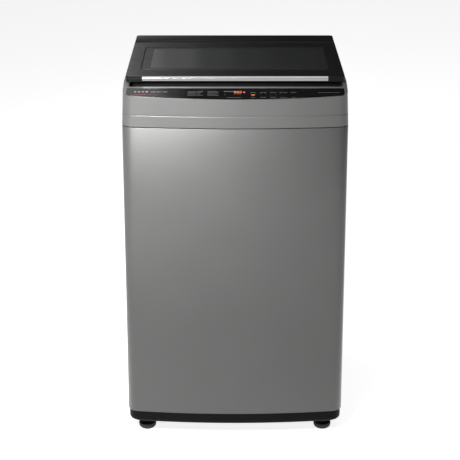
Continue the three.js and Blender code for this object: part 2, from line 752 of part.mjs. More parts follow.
// Rear cover: the strip behind the lid, with an ear at each end that carries a hinge pin.
function rearCover() {
  const half = LID_HALF;
  const y0 = REAR_COVER_FRONT;
  const y1 = BACK - COVER_TAPER;
  const low = LID_SEAT + GAP;
  const outline = [
    ...arc(half - 3, y0 + 3, 3, -Math.PI / 2, 0, 1),
    ...arc(half - 9, y1 - 9, 9, 0, Math.PI / 2, 4),
    ...arc(-half + 9, y1 - 9, 9, Math.PI / 2, Math.PI, 4),
    ...arc(-half + 3, y0 + 3, 3, Math.PI, (3 * Math.PI) / 2, 1),
  ];
  const shell = cut(
    prism(outline, low, LID_TOP),
    box(-half + DECK_WALL, y0 + DECK_WALL, low - 1, half - DECK_WALL, y1 - DECK_WALL, LID_TOP - DECK_WALL),
  );
  const ears = [-1, 1].map((side) => {
    const inner = half - HINGE_EAR;
    const outer = half - GAP;
    const radius = HINGE_RADIUS - GAP;
    const profile = [
      [y0 + 4, low + GAP],
      [y0 + 4, LID_TOP - GAP],
      ...arc(HINGE_Y, HINGE_Z, radius, Math.PI / 2, Math.PI, 5).map((p) => [p.x, p.y]),
      [HINGE_Y - radius, low + GAP],
    ];
    const ear = side < 0 ? sideways(profile, -outer, -inner) : sideways(profile, inner, outer);
    return cut(ear, pinBore(side));
  });
  return join(shell, ...ears);
}

function pinBore(side) {
  const bore = new THREE.CylinderGeometry(PIN_RADIUS + GAP, PIN_RADIUS + GAP, PIN_LENGTH + 2, 12);
  bore.rotateZ(Math.PI / 2).translate(side * PIN_MIDDLE, HINGE_Y, HINGE_Z);
  return solid(bore);
}

const PIN_MIDDLE = LID_HALF - 2 - PIN_LENGTH / 2;

function hingePin(side) {
  const pin = new THREE.CylinderGeometry(PIN_RADIUS, PIN_RADIUS, PIN_LENGTH, 12);
  return solid(pin.rotateZ(Math.PI / 2).translate(side * PIN_MIDDLE, HINGE_Y, HINGE_Z));
}

// Lid: a shell with a round rear edge about the hinge line, a rebate for the glass and a slot for the trim.
const WINDOW = [
  -LID_HALF + WINDOW_SIDE,
  LID_FRONT + WINDOW_FRONT,
  LID_HALF - WINDOW_SIDE,
  HINGE_Y + HINGE_RADIUS - WINDOW_BACK,
];

function windowOutline(grow) {
  const [x0, y0, x1, y1] = WINDOW;
  return roundedRectangle(x0 - grow, y0 - grow, x1 + grow, y1 + grow, WINDOW_RADIUS + grow, 3);
}

const LINER_THICKNESS = 2;

function lidFrame() {
  const low = LID_TOP - LID_THICKNESS;
  const side = [
    [LID_FRONT, low],
    [HINGE_Y, low],
    ...arc(HINGE_Y, HINGE_Z, HINGE_RADIUS, -Math.PI / 3, Math.PI / 2, 7).map((p) => [p.x, p.y]),
    [LID_FRONT, LID_TOP],
  ];
  const r = LID_CORNER_RADIUS;
  const plan = [
    ...arc(LID_HALF - r, LID_FRONT + r, r, -Math.PI / 2, 0, 4),
    point(LID_HALF, BACK),
    point(-LID_HALF, BACK),
    ...arc(-LID_HALF + r, LID_FRONT + r, r, Math.PI, (3 * Math.PI) / 2, 4),
  ];
  const block = sideways(side, -LID_HALF, LID_HALF).intersect(prism(plan, low - 1, LID_TOP + 1));
  const wall = LID_WALL + HANDLE_THICKNESS + GAP;
  const hollow = cut(
    box(
      -LID_HALF + LID_WALL,
      LID_FRONT + wall,
      low - 1,
      LID_HALF - LID_WALL,
      HINGE_Y - HINGE_RADIUS - 6,
      LID_TOP - LID_WALL,
    ),
    prism(windowOutline(LID_WALL), low - 2, LID_TOP),
  );
  const rebate = prism(windowOutline(GAP), LID_TOP - GLASS_SINK - GLASS_THICKNESS - GAP, LID_TOP + 1);
  const through = prism(windowOutline(-GLASS_REST), low - 1, LID_TOP + 1);
  const trim = box(
    -LID_HALF + HANDLE_SIDE - GAP,
    LID_FRONT - 1,
    LID_TOP - HANDLE_HEIGHT - GAP,
    LID_HALF - HANDLE_SIDE + GAP,
    LID_FRONT + HANDLE_THICKNESS,
    LID_TOP + 1,
  );
  const notch = LID_HALF - HINGE_EAR - RUNNING_GAP;
  const notches = [-1, 1].map((s) =>
    box(
      Math.min(s * notch, s * (LID_HALF + 1)),
      HINGE_Y - HINGE_RADIUS - RUNNING_GAP - GAP,
      low - 1,
      Math.max(s * notch, s * (LID_HALF + 1)),
      BACK,
      LID_TOP + 1,
    ),
  );
  return cut(block, hollow, rebate, through, trim, ...notches, pinBore(-1), pinBore(1));
}

// Liner: the flat ring that closes the lid's underside.
function lidLiner() {
  const low = LID_TOP - LID_THICKNESS;
  const wall = LID_WALL + HANDLE_THICKNESS + 2 * GAP;
  const plate = box(
    -LID_HALF + LID_WALL + GAP,
    LID_FRONT + wall,
    low,
    LID_HALF - LID_WALL - GAP,
    HINGE_Y - HINGE_RADIUS - 6 - GAP,
    low + LINER_THICKNESS,
  );
  return cut(plate, prism(windowOutline(LID_WALL + GAP), low - 1, low + LINER_THICKNESS + 1));
}

function lidGlass() {
  const top = LID_TOP - GLASS_SINK;
  return prism(windowOutline(0), top - GLASS_THICKNESS, top);
}

// Trim: a bright bar with a narrow upper bevel over a taller front face.
function lidHandle() {
  const low = LID_TOP - HANDLE_HEIGHT;
  const back = LID_FRONT + HANDLE_THICKNESS - GAP;
  return sideways(
    [
      [back, low],
      [LID_FRONT - 0.6, low + 0.6],
      [LID_FRONT - 1.4, low + HANDLE_HEIGHT * 0.62],
      [LID_FRONT - 0.2, LID_TOP - 0.6],
      [back, LID_TOP - 0.2],
    ],
    -LID_HALF + HANDLE_SIDE,
    LID_HALF - HANDLE_SIDE,
  );
}

function inletValve() {
  const z = LID_SEAT - DECK_WALL - 26;
  const body = box(VALVE_X - 20, BACK - 66, z - 15, VALVE_X + 20, BACK - 30, z + 15);
  const nozzle = solid(
    new THREE.CylinderGeometry(INLET_RADIUS, INLET_RADIUS, 32, 16).translate(VALVE_X, BACK - 18.5, z),
  );
  const bore = solid(
    new THREE.CylinderGeometry(INLET_RADIUS - 4, INLET_RADIUS - 4, 30, 12).translate(VALVE_X, BACK - 10, z),
  );
  const spout = box(DRAWER_WIDTH / 2 + 2 * DRAWER_WALL + 2, BACK - 56, z - 6, VALVE_X - 19, BACK - 44, z + 6);
  return cut(join(body, nozzle, spout), bore);
}

function lidSwitch() {
  const top = LID_SEAT - DECK_WALL - GAP;
  const x = DECK_HALF - 28;
  return box(x, HINGE_Y - 60, top - 22, x + 18, HINGE_Y - 20, top);
}

// Gland for the mains lead, in the back panel.
function cordGland() {
  const flange = tube(GLAND_RADIUS + 4, 4, 4);
  const neck = tube(GLAND_RADIUS, 4, 14).translate([0, 0, -14 + 0.1]);
  return join(flange, neck);
}

// Tub unit, about the basket's axis.
function outerTub() {
  const r = TUB_RADIUS;
  const low = TUB_BOTTOM;
  const cup = turned(
    [
      [TUB_BORE_RADIUS, BRACKET_TOP + GAP],
      [TUB_BOSS_RADIUS, BRACKET_TOP + GAP],
      [TUB_BOSS_RADIUS, low],
      [r - 12, low],
      [r, low + 12],
      [r, TUB_TOP],
      [r - TUB_WALL, TUB_TOP],
      [r - TUB_WALL, low + 14],
      [r - 13, low + TUB_FLOOR],
      [TUB_BORE_RADIUS, low + TUB_FLOOR],
    ],
    ROUND,
  );
  const nozzle = tube(NOZZLE_RADIUS, NOZZLE_RADIUS - 2.5, 22, 12);
  const drain = rod(NOZZLE_RADIUS - 2.5, 40, 12);
  const lugs = CORNERS.map(([, sx, sy]) => {
    const [x, y] = rodPlace(sx, sy);
    const reach = Math.hypot(x, y);
    const arm = box(r - TUB_WALL / 2, -LUG_WIDTH / 2, 0, reach + 15, LUG_WIDTH / 2, LUG_HEIGHT);
    const placed = arm.rotate([0, 0, (Math.atan2(y, x) * 180) / Math.PI]).translate([0, 0, LUG_BOTTOM]);
    return cut(placed, rod(ROD_RADIUS + 4, 40, 10).translate([x, y, LUG_BOTTOM - 10]));
  });
  return cut(
    join(cup, nozzle.translate([-PUMP_AT, PUMP_AT, low - 21]), ...lugs),
    drain.translate([-PUMP_AT, PUMP_AT, low - 20]),
  );
}

function tubRing() {
  const r = TUB_RADIUS;
  const inner = r - RING_INNER_DROP;
  return turned(
    [
      [r + GAP, TUB_TOP - 14],
      [r + 3, TUB_TOP - 14],
      [r + 3, TUB_TOP + 8],
      [r - 26, TUB_TOP + 14],
      [inner, TUB_TOP + 14],
      [inner, TUB_TOP + 10],
      [r - 26, TUB_TOP + 10],
      [r - TUB_WALL, TUB_TOP + GAP],
      [r + GAP, TUB_TOP + GAP],
    ],
    ROUND,
  );
}

function tubSeal() {
  return tube(TUB_BORE_RADIUS - GAP, SPIN_SHAFT_RADIUS + GAP, 12, 20).translate([0, 0, BRACKET_TOP + GAP]);
}

function driveBracket() {
  const outline = roundedRectangle(
    -BRACKET_HALF_WIDTH,
    -BRACKET_HALF_WIDTH,
    BRACKET_HALF_WIDTH,
    MOTOR_DISTANCE + MOTOR_RADIUS,
    30,
    3,
  );
  const hole = arc(0, 0, SPIN_SHAFT_RADIUS + 6, 0, 2 * Math.PI, 16).slice(1).reverse();
  return prism(outline, BRACKET_BOTTOM, BRACKET_TOP, [hole]);
}

function gearcase() {
  const low = GEARCASE_BOTTOM;
  const top = BRACKET_BOTTOM - GAP;
  const spin = SPIN_SHAFT_RADIUS + GAP;
  const input = WASH_SHAFT_RADIUS + 1;
  return turned(
    [
      [input, low],
      [GEARCASE_RADIUS - 8, low],
      [GEARCASE_RADIUS, low + 12],
      [GEARCASE_RADIUS, top - 12],
      [GEARCASE_RADIUS + 14, top - 8],
      [GEARCASE_RADIUS + 14, top],
      [spin, top],
      [spin, SHAFT_SPLIT - 1],
      [input, SHAFT_SPLIT - 1],
    ],
    24,
  );
}

function motor() {
  const low = GEARCASE_BOTTOM;
  const top = BRACKET_BOTTOM - GAP;
  const bore = 6 + GAP;
  return turned(
    [
      [0, low + 24],
      [bore, low + 24],
      [bore, low],
      [26, low],
      [26, low + 6],
      [MOTOR_RADIUS, low + 6],
      [MOTOR_RADIUS, top - 14],
      [MOTOR_RADIUS - 14, top - 6],
      [MOTOR_RADIUS - 14, top],
      [0, top],
    ],
    20,
  );
}

function pulleyRim(radius) {
  const low = PULLEY_BOTTOM;
  return [
    [radius, low],
    [radius, low + PULLEY_FLANGE],
    [radius - GROOVE_SINK, low + PULLEY_FLANGE],
    [radius - GROOVE_SINK, PULLEY_TOP - PULLEY_FLANGE],
    [radius, PULLEY_TOP - PULLEY_FLANGE],
    [radius, PULLEY_TOP],
  ];
}

function drivePulley() {
  const low = PULLEY_BOTTOM;
  const webLow = low + 6;
  const inner = DRIVE_PULLEY_RADIUS - 12;
  const shaft = WASH_SHAFT_RADIUS;
  return turned(
    [
      [0, low],
      [16, low],
      [16, webLow],
      [inner, webLow],
      [inner, low],
      ...pulleyRim(DRIVE_PULLEY_RADIUS),
      [inner, PULLEY_TOP],
      [inner, webLow + 4],
      [16, webLow + 4],
      [16, PULLEY_TOP + 4],
      [shaft, PULLEY_TOP + 4],
      [shaft, SHAFT_SPLIT - 2],
      [0, SHAFT_SPLIT - 2],
    ],
    24,
  );
}

function motorPulley() {
  const shaftTop = GEARCASE_BOTTOM + 22;
  const rim = pulleyRim(MOTOR_PULLEY_RADIUS);
  const stub = [[6, PULLEY_TOP], [6, shaftTop], [0, shaftTop]];
  return turned([[0, PULLEY_BOTTOM], ...rim, ...stub], 16);
}

// The belt's outline round both pulleys, at a distance from the groove floors.
function beltOutline(away) {
  const big = DRIVE_PULLEY_RADIUS - GROOVE_SINK + away;
  const small = MOTOR_PULLEY_RADIUS - GROOVE_SINK + away;
  const spread = Math.acos((big - small) / MOTOR_DISTANCE);
  const ahead = Math.PI / 2;
  return [
    ...arc(0, MOTOR_DISTANCE, small, ahead - spread, ahead + spread, 8),
    ...arc(0, 0, big, ahead + spread, ahead + 2 * Math.PI - spread, 16),
  ];
}

function driveBelt() {
  const low = PULLEY_BOTTOM + PULLEY_FLANGE + GAP;
  const high = PULLEY_TOP - PULLEY_FLANGE - GAP;
  return prism(beltOutline(GROOVE_SINK - 0.5), low, high, [beltOutline(GAP + 0.5).reverse()]);
}

function basket() {
  const r = BASKET_RADIUS;
  const low = BASKET_BOTTOM;
  const wall = BASKET_WALL;
  return turned(
    [
      [30, low],
      [r - 15, low],
      [r, low + 15],
      [r, BASKET_TOP],
      [r - wall, BASKET_TOP],
      [r - wall, low + 15.5],
      [r - 15.5, low + wall],
      [30, low + wall],
    ],
    ROUND,
  );
}

function balanceRing() {
  const outer = BASKET_RADIUS + 2;
  const inner = outer - BALANCE_WIDTH;
  const low = BASKET_TOP + GAP;
  const high = low + BALANCE_HEIGHT;
  return turned(
    [
      [inner, low],
      [outer, low],
      [outer, high - 10],
      [outer - 8, high],
      [inner + 8, high],
      [inner, high - 10],
    ],
    ROUND,
  );
}

function basketHub() {
  const bore = SPIN_SHAFT_RADIUS + GAP;
  const top = BASKET_BOTTOM - GAP;
  const low = TUB_BOTTOM + TUB_FLOOR + 4;
  return turned(
    [
      [bore, low],
      [24, low],
      [28, top - 10],
      [100, top - 5],
      [100, top],
      [bore, top],
    ],
    20,
  );
}

function spinShaft() {
  const length = BASKET_BOTTOM - 1 - SHAFT_SPLIT;
  const shaft = tube(SPIN_SHAFT_RADIUS, WASH_SHAFT_RADIUS + RUNNING_GAP, length, 16);
  return shaft.translate([0, 0, SHAFT_SPLIT]);
}

function washShaft() {
  const low = SHAFT_SPLIT + 3;
  const socket = SCREW_SHANK_RADIUS + GAP;
  return turned(
    [
      [0, low],
      [WASH_SHAFT_RADIUS, low],
      [WASH_SHAFT_RADIUS, WASH_TOP],
      [socket, WASH_TOP],
      [socket, WASH_TOP - 20],
      [0, WASH_TOP - 20],
    ],
    14,
  );
}

function pulsator() {
  const r = PULSATOR_RADIUS;
  const low = BASKET_BOTTOM + BASKET_WALL + 3;
  const dome = WASH_TOP + 16;
  const bore = WASH_SHAFT_RADIUS + GAP;
  const hole = SCREW_SHANK_RADIUS + GAP;
  const disc = turned(
    [
      [hole, WASH_TOP + GAP],
      [bore, WASH_TOP + GAP],
      [bore, low],
      [22, low],
      [22, low + 4],
      [r - 7, low + 4],
      [r, low + 8],
      [r, low + 12],
      [r - 15, low + 15],
      [60, low + 19],
      [30, dome],
      [hole, dome],
    ],
    ROUND,
  );
  const fins = Array.from({ length: FIN_COUNT }, (_, i) => {
    const half = FIN_WIDTH / 2;
    const length = r - 30;
    const profile = [
      [28, low + 14],
      [length, low + 12],
      [length - 6, low + 12 + FIN_HEIGHT * 0.45],
      [60, low + 17 + FIN_HEIGHT * 0.75],
      [34, dome - 1],
    ];
    return sideways(profile, -half, half).rotate([0, 0, (i * 360) / FIN_COUNT]);
  });
  return join(disc, ...fins);
}

function pulsatorScrew() {
  const seat = WASH_TOP + 16 + GAP;
  return join(
    turned([[0, seat], [12, seat], [12, seat + 3], [8, seat + 6], [0, seat + 6]], 14),
    rod(SCREW_SHANK_RADIUS, 33, 8).translate([0, 0, seat - 33 + 0.1]),
  );
}

function lintFilter() {
  const outer = (BASKET_RADIUS - BASKET_WALL) * Math.cos(Math.PI / ROUND) - RUNNING_GAP;
  const inner = outer - FILTER_THICKNESS;
  const a = FILTER_HALF_ANGLE;
  const outline = [...arc(0, 0, outer, -a, a, 4), ...arc(0, 0, inner, a * 0.9, -a * 0.9, 4)];
  const low = BASKET_BOTTOM + FILTER_RISE;
  return prism(outline, low, low + FILTER_HEIGHT);
}

// Suspension: a rod hangs from each gusset, and a spring on its foot carries the tub's lug.
const SPRING_TOP = LUG_BOTTOM - GAP;
const SPRING_BOTTOM = SPRING_TOP - SPRING_LENGTH;

function suspensionRod() {
  const cap = SPRING_BOTTOM - GAP;
  const head = GUSSET_TOP + GAP;
  return turned(
    [
      [0, cap - 12],
      [8, cap - 12],
      [SPRING_RADIUS + 4, cap - 3],
      [SPRING_RADIUS + 4, cap],
      [ROD_RADIUS, cap],
      [ROD_RADIUS, head],
      [ROD_HEAD_RADIUS, head],
      [ROD_HEAD_RADIUS, head + 3],
      [4, head + 8],
      [0, head + 8],
    ],
    10,
  );
}

class Helix extends THREE.Curve {
  getPoint(t, target = new THREE.Vector3()) {
    const angle = 2 * Math.PI * SPRING_TURNS * t;
    const rise = SPRING_LENGTH - 2 * SPRING_WIRE - 0.4;
    return target.set(
      SPRING_RADIUS * Math.cos(angle),
      SPRING_RADIUS * Math.sin(angle),
      SPRING_WIRE + 0.2 + rise * t,
    );
  }
}

function spring() {
  const section = new THREE.Shape(arc(0, 0, SPRING_WIRE, 0, 2 * Math.PI, 5).slice(1));
  return solid(
    new THREE.ExtrudeGeometry(section, {
      extrudePath: new Helix(),
      steps: SPRING_TURNS * 7,
      bevelEnabled: false,
    }),
  );
}

// Drain: a bellows from the tub's nozzle to a pump that stands on the base, and its outlet at the back.
const PUMP_INLET_TOP = BASE_TOP + PUMP_HEIGHT + 14;

function drainPump() {
  const volute = turned(
    [
      [0, 0],
      [PUMP_RADIUS, 0],
      [PUMP_RADIUS, PUMP_HEIGHT - 8],
      [PUMP_RADIUS - 6, PUMP_HEIGHT],
      [NOZZLE_RADIUS, PUMP_HEIGHT],
      [NOZZLE_RADIUS, PUMP_HEIGHT + 14],
      [NOZZLE_RADIUS - 2.5, PUMP_HEIGHT + 14],
      [NOZZLE_RADIUS - 2.5, 12],
      [0, 12],
    ],
    18,
  );
  const reach = BACK - PUMP_AT - 20;
  const branch = solid(
    new THREE.CylinderGeometry(OUTLET_RADIUS - GAP, OUTLET_RADIUS - GAP, reach - 20, 12).translate(
      0,
      20 + (reach - 20) / 2,
      OUTLET_Z - BASE_TOP,
    ),
  );
  return join(volute, branch);
}

function drainOutlet() {
  const y0 = BACK - 32;
  const length = BACK - 1 - y0;
  const ring = (radius, run) =>
    solid(new THREE.CylinderGeometry(radius, radius, run, 16).translate(0, y0 + run / 2, 0));
  return cut(
    join(ring(OUTLET_RADIUS + HOSE_WALL, length), ring(OUTLET_RADIUS + HOSE_WALL + 5, 4)),
    solid(new THREE.CylinderGeometry(OUTLET_RADIUS, OUTLET_RADIUS, 80, 12).translate(0, y0 + 20, 0)),
  );
}

function sumpHose() {
  const low = BASE_TOP + PUMP_HEIGHT + 2 * GAP;
  const high = TUB_BOTTOM - GAP;
  const folds = 5;
  const pitch = (high - low) / folds;
  const inner = HOSE_RADIUS - HOSE_WALL;
  const outside = [];
  for (let i = 0; i < folds; i++) {
    outside.push([HOSE_RADIUS, low + pitch * (i + 0.1)], [HOSE_RADIUS + 4, low + pitch * (i + 0.5)]);
  }
  return turned([[inner, low], [HOSE_RADIUS, low], ...outside, [HOSE_RADIUS, high], [inner, high]], 14);
}

// ---- Assembly ----
piece("cabinet_wrap", cabinetWrap(), GRAPHITE_PAINT);
piece("back_panel", backPanel(), GALVANISED);
piece("base_frame", baseFrame(), BLACK_MOULDING);
piece("top_cover", topCover(), GREY_MOULDING);
piece("deck", deck(), BLACK_MOULDING);
piece("rear_cover", rearCover(), BLACK_MOULDING);
piece("dispenser_housing", dispenserHousing(), GREY_PLASTIC);
piece("detergent_drawer", detergentDrawer(), GREY_PLASTIC);
piece("inlet_valve", inletValve(), WHITE_PLASTIC);
piece("lid_switch", lidSwitch(), BLACK_MOULDING);

for (const [name, sx, sy] of CORNERS) {
  const [footX, footY] = footPlace(sx, sy);
  piece("foot_" + name, foot(), RUBBER).position.set(footX, footY, 0);
  const [rodX, rodY] = rodPlace(sx, sy);
  const leg = groupAt(rodX, rodY, 0);
  piece("suspension_rod_" + name, suspensionRod(), STEEL, leg);
  piece("spring_" + name, spring(), STEEL, leg).position.z = SPRING_BOTTOM;
}

let screwNumber = 0;
for (const side of [-1, 1]) {
  for (const z of SCREW_ZS) {
    screwNumber += 1;
    const screw = piece("rear_screw_" + screwNumber, rearScrew(), STEEL);
    screw.position.set(side * SCREW_X, PANEL_OUTER_Y + GAP, z);
    screw.rotation.x = -Math.PI / 2;
  }
}

const gland = piece("cord_gland", cordGland(), RUBBER);
gland.position.set(GLAND_AT[0], PANEL_OUTER_Y + GAP, GLAND_AT[1]);
gland.rotation.x = -Math.PI / 2;

piece("drain_pump", drainPump(), WHITE_PLASTIC).position.set(-PUMP_AT, PUMP_AT, BASE_TOP);
piece("drain_outlet", drainOutlet(), GREY_PLASTIC).position.set(-PUMP_AT, 0, OUTLET_Z);
piece("sump_hose", sumpHose(), RUBBER).position.set(-PUMP_AT, PUMP_AT, 0);

const panel = groupAt(0, PANEL_FRONT, PANEL_LOW);
panel.rotation.x = PANEL_TILT;
piece("control_panel", controlPanel(), GLOSS_BLACK, panel);
piece("control_board", controlBoard(), BOARD_GREEN, panel);
for (let i = 0; i < KEY_COUNT; i++) {
  piece("key_" + (i + 1), keyCap(), GLOSS_BLACK, panel).position.set(keyX(i), KEY_Y, 0);
}

const lid = groupAt(0, 0, 0);
piece("lid_frame", lidFrame(), BLACK_MOULDING, lid);
piece("lid_liner", lidLiner(), BLACK_MOULDING, lid);
piece("lid_glass", lidGlass(), SMOKED_GLASS, lid);
piece("lid_handle", lidHandle(), CHROME, lid);
piece("hinge_pin_left", hingePin(-1), STEEL);
piece("hinge_pin_right", hingePin(1), STEEL);

const tubUnit = groupAt(0, 0, 0);
piece("outer_tub", outerTub(), GREY_PLASTIC, tubUnit);
piece("tub_ring", tubRing(), WHITE_PLASTIC, tubUnit);
piece("tub_seal", tubSeal(), RUBBER, tubUnit);
piece("drive_bracket", driveBracket(), GALVANISED, tubUnit);
piece("gearcase", gearcase(), CAST_ALUMINIUM, tubUnit);
piece("drive_belt", driveBelt(), RUBBER, tubUnit);
piece("drive_pulley", drivePulley(), CAST_ALUMINIUM, tubUnit);
const motorGroup = groupAt(0, MOTOR_DISTANCE, 0, tubUnit);
piece("motor", motor(), CAST_ALUMINIUM, motorGroup);
piece("motor_pulley", motorPulley(), CAST_ALUMINIUM, motorGroup);

const spinning = groupAt(0, 0, 0, tubUnit);
piece("basket", basket(), STAINLESS, spinning);
piece("balance_ring", balanceRing(), GREY_PLASTIC, spinning);
piece("basket_hub", basketHub(), CAST_ALUMINIUM, spinning);
piece("spin_shaft", spinShaft(), STEEL, spinning);
piece("lint_filter", lintFilter(), WHITE_PLASTIC, spinning);
piece("pulsator", pulsator(), GREY_PLASTIC, spinning);
piece("wash_shaft", washShaft(), STEEL, spinning);
piece("pulsator_screw", pulsatorScrew(), STAINLESS, spinning);

export default machine;
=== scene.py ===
import math

import bmesh
import bpy
from mathutils import Matrix, Vector


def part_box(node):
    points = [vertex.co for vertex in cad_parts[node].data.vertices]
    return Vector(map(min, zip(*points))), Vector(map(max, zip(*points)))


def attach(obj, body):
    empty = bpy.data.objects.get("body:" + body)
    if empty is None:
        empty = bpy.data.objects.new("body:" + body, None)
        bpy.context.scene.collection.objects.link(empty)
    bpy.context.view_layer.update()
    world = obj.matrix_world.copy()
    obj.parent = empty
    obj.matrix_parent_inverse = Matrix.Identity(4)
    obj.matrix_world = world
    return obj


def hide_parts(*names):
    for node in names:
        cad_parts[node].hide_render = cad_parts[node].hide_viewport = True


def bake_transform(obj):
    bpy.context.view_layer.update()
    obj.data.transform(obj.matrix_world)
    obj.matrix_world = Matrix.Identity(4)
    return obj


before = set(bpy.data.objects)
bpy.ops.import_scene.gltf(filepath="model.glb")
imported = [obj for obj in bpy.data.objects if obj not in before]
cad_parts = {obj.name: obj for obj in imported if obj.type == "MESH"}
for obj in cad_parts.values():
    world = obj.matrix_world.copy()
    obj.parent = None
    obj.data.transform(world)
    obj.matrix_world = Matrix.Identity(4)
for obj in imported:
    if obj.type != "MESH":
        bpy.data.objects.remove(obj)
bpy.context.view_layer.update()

# Everything is modelled in millimetres and brought to metres when a piece is finished.
MM = 0.001
CORNERS = ("front_left", "front_right", "rear_left", "rear_right")


def span(node):
    """The lowest and highest corner of a solid of the machine, in millimetres."""
    low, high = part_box(node)
    return [v / MM for v in low], [v / MM for v in high]


def centre(node):
    """The middle of a solid's box, in millimetres."""
    return [(low + high) / 2 for low, high in zip(*span(node))]


# ---- Sizes taken from the solids ----
CABINET_LOW, CABINET_HIGH = span("cabinet_wrap")
COVER_LOW, COVER_HIGH = span("top_cover")
DECK_LOW, DECK_HIGH = span("deck")
LID_LOW, LID_HIGH = span("lid_frame")
GLASS_LOW, GLASS_HIGH = span("lid_glass")
TRIM_LOW, TRIM_HIGH = span("lid_handle")
REAR_LOW, REAR_HIGH = span("rear_cover")
BASE_LOW, BASE_HIGH = span("base_frame")
BACK_LOW, BACK_HIGH = span("back_panel")

HALF = COVER_HIGH[0]
FRONT = COVER_LOW[1]
BACK = COVER_HIGH[1]
PLAN_MIDDLE = Vector((0, (FRONT + BACK) / 2, 0))
BOW = 20
FRONT_ROUND = 24
BACK_ROUND = 10
TAPER = 3.5

PANEL_RUN = 59.5
PANEL_RISE = 18
PANEL_LIP = 7.4
PANEL_TILT = math.atan2(PANEL_RISE, PANEL_RUN)
PANEL_SLOPE = math.hypot(PANEL_RUN, PANEL_RISE)
PANEL_FOOT = Vector((0, FRONT + TAPER, COVER_HIGH[2] - PANEL_LIP - PANEL_RISE))
PANEL_BACK = PANEL_FOOT.y + PANEL_RUN
PANEL_END = span("control_panel")[1][0] + 2.5
PANEL_PROUD = 0.25
# The keys' middle, up the slope from the panel's foot.
KEY_UP = PANEL_SLOPE * 0.46

WINDOW = (GLASS_LOW[0], GLASS_LOW[1], GLASS_HIGH[0], GLASS_HIGH[1])
HINGE_Y = LID_HIGH[1] - (LID_HIGH[2] - LID_LOW[2]) / 2
MOUTH = (-185, -180, 185, 164)
MOUTH_ROUND = 110
INLET_X = 150
TUB_RADIUS = 236
TUB_FLOOR = 235


# ---- Finishes ----
def sum_of(operation, swapped=False):
    """What one of Python's operators does to a term: a node that works the sum out."""

    def apply(term, other):
        return term.finish.maths(operation, *((other, term) if swapped else (term, other)))

    return apply


class Term:
    """One socket of a finish, used in sums like a number."""

    def __init__(self, finish, socket):
        self.finish = finish
        self.socket = socket

    __add__ = sum_of("ADD")
    __radd__ = sum_of("ADD", swapped=True)
    __sub__ = sum_of("SUBTRACT")
    __rsub__ = sum_of("SUBTRACT", swapped=True)
    __mul__ = sum_of("MULTIPLY")
    __truediv__ = sum_of("DIVIDE")
    __gt__ = sum_of("GREATER_THAN")
    __lt__ = sum_of("LESS_THAN")


class Finish:
    """A procedural material, built round one Principled shader."""

    def __init__(self, name, slot, color, roughness, metallic=0.0, **sockets):
        self.slot = slot
        self.color = color
        self.material = bpy.data.materials.new(name)
        self.material.use_nodes = True
        self.tree = self.material.node_tree
        self.shader = self.tree.nodes["Principled BSDF"]
        self.set("Base Color", (*color, 1))
        self.set("Roughness", roughness)
        self.set("Metallic", metallic)
        for socket, value in sockets.items():
            self.set(socket.replace("_", " "), value)
        self.place = self.add("ShaderNodeTexCoord", output="Object")

    def put(self, socket, value):
        if isinstance(value, Term):
            self.tree.links.new(value.socket, socket)
        else:
            socket.default_value = value

    def set(self, socket, value):
        self.put(self.shader.inputs[socket], value)

    def add(self, kind, settings=None, inputs=None, output=0):
        """A new node with its settings and its inputs; gives one of its outputs."""
        node = self.tree.nodes.new(kind)
        for key, value in (settings or {}).items():
            setattr(node, key, value)
        for key, value in (inputs or {}).items():
            self.put(node.inputs[key], value)
        return Term(self, node.outputs[output])

    def maths(self, operation, *terms):
        return self.add("ShaderNodeMath", {"operation": operation}, dict(enumerate(terms)))

    def noise(self, scale, detail=2.0, stretch=(1, 1, 1)):
        """Cloudy variation from 0 to 1, with features of about 1 / scale metres."""
        place = self.add("ShaderNodeMapping", None, {"Vector": self.place, "Scale": stretch})
        inputs = {"Vector": place, "Scale": scale, "Detail": detail}
        return self.add("ShaderNodeTexNoise", None, inputs)

    def cells(self, scale):
        """Pits from 0 in the middle of each cell to about 1."""
        return self.add("ShaderNodeTexVoronoi", None, {"Vector": self.place, "Scale": scale})

    def cell_tones(self, scale, channel):
        """One even tone for each cell."""
        inputs = {"Vector": self.place, "Scale": scale}
        color = self.add("ShaderNodeTexVoronoi", None, inputs, "Color")
        return self.add("ShaderNodeSeparateColor", None, {0: color}, channel)

    def axis(self, name):
        return self.add("ShaderNodeSeparateXYZ", None, {0: self.place}, name)

    def rise(self, value, start, end):
        """From 0 at start to 1 at end."""
        ramp = self.add("ShaderNodeValToRGB", None, {0: value})
        elements = ramp.socket.node.color_ramp.elements
        for element, position, grey in zip(elements, (start, end), (0, 1)):
            element.position = position
            element.color = (grey, grey, grey, 1)
        return ramp

    def mix(self, factor, first, second):
        """Between two colours, each a triple or a term."""
        colors = [c if isinstance(c, Term) else (*c, 1) for c in (first, second)]
        inputs = {0: factor, 6: colors[0], 7: colors[1]}
        return self.add("ShaderNodeMix", {"data_type": "RGBA"}, inputs, 2)

    def relief(self, height, distance, strength):
        """Raises the surface by height times distance, in millimetres."""
        inputs = {"Height": height, "Distance": distance * MM, "Strength": strength}
        self.set("Normal", self.add("ShaderNodeBump", None, inputs))

    def tones(self, factor, light, dark):
        """Base colour between two shades of the finish's own colour."""
        shades = [c * dark for c in self.color], [min(1, c * light) for c in self.color]
        self.set("Base Color", self.mix(factor, *shades))


def sprayed_paint(name, slot, color, roughness=0.36):
    """Metallic paint: fine flake, faint orange peel and slow drifts in gloss."""
    finish = Finish(name, slot, color, roughness, 0.55, Coat_Weight=0.25, Coat_Roughness=0.22)
    spark = finish.cell_tones(2600, "Red")
    drift = finish.noise(7, 3)
    finish.tones(spark * 0.55 + drift * 0.45, 1.14, 0.88)
    finish.set("Roughness", roughness - 0.05 + drift * 0.06 + spark * 0.05)
    peel = finish.noise(420, 2)
    finish.relief(peel * 0.7 + finish.noise(2200, 1) * 0.3, 0.02, 0.5)
    return finish


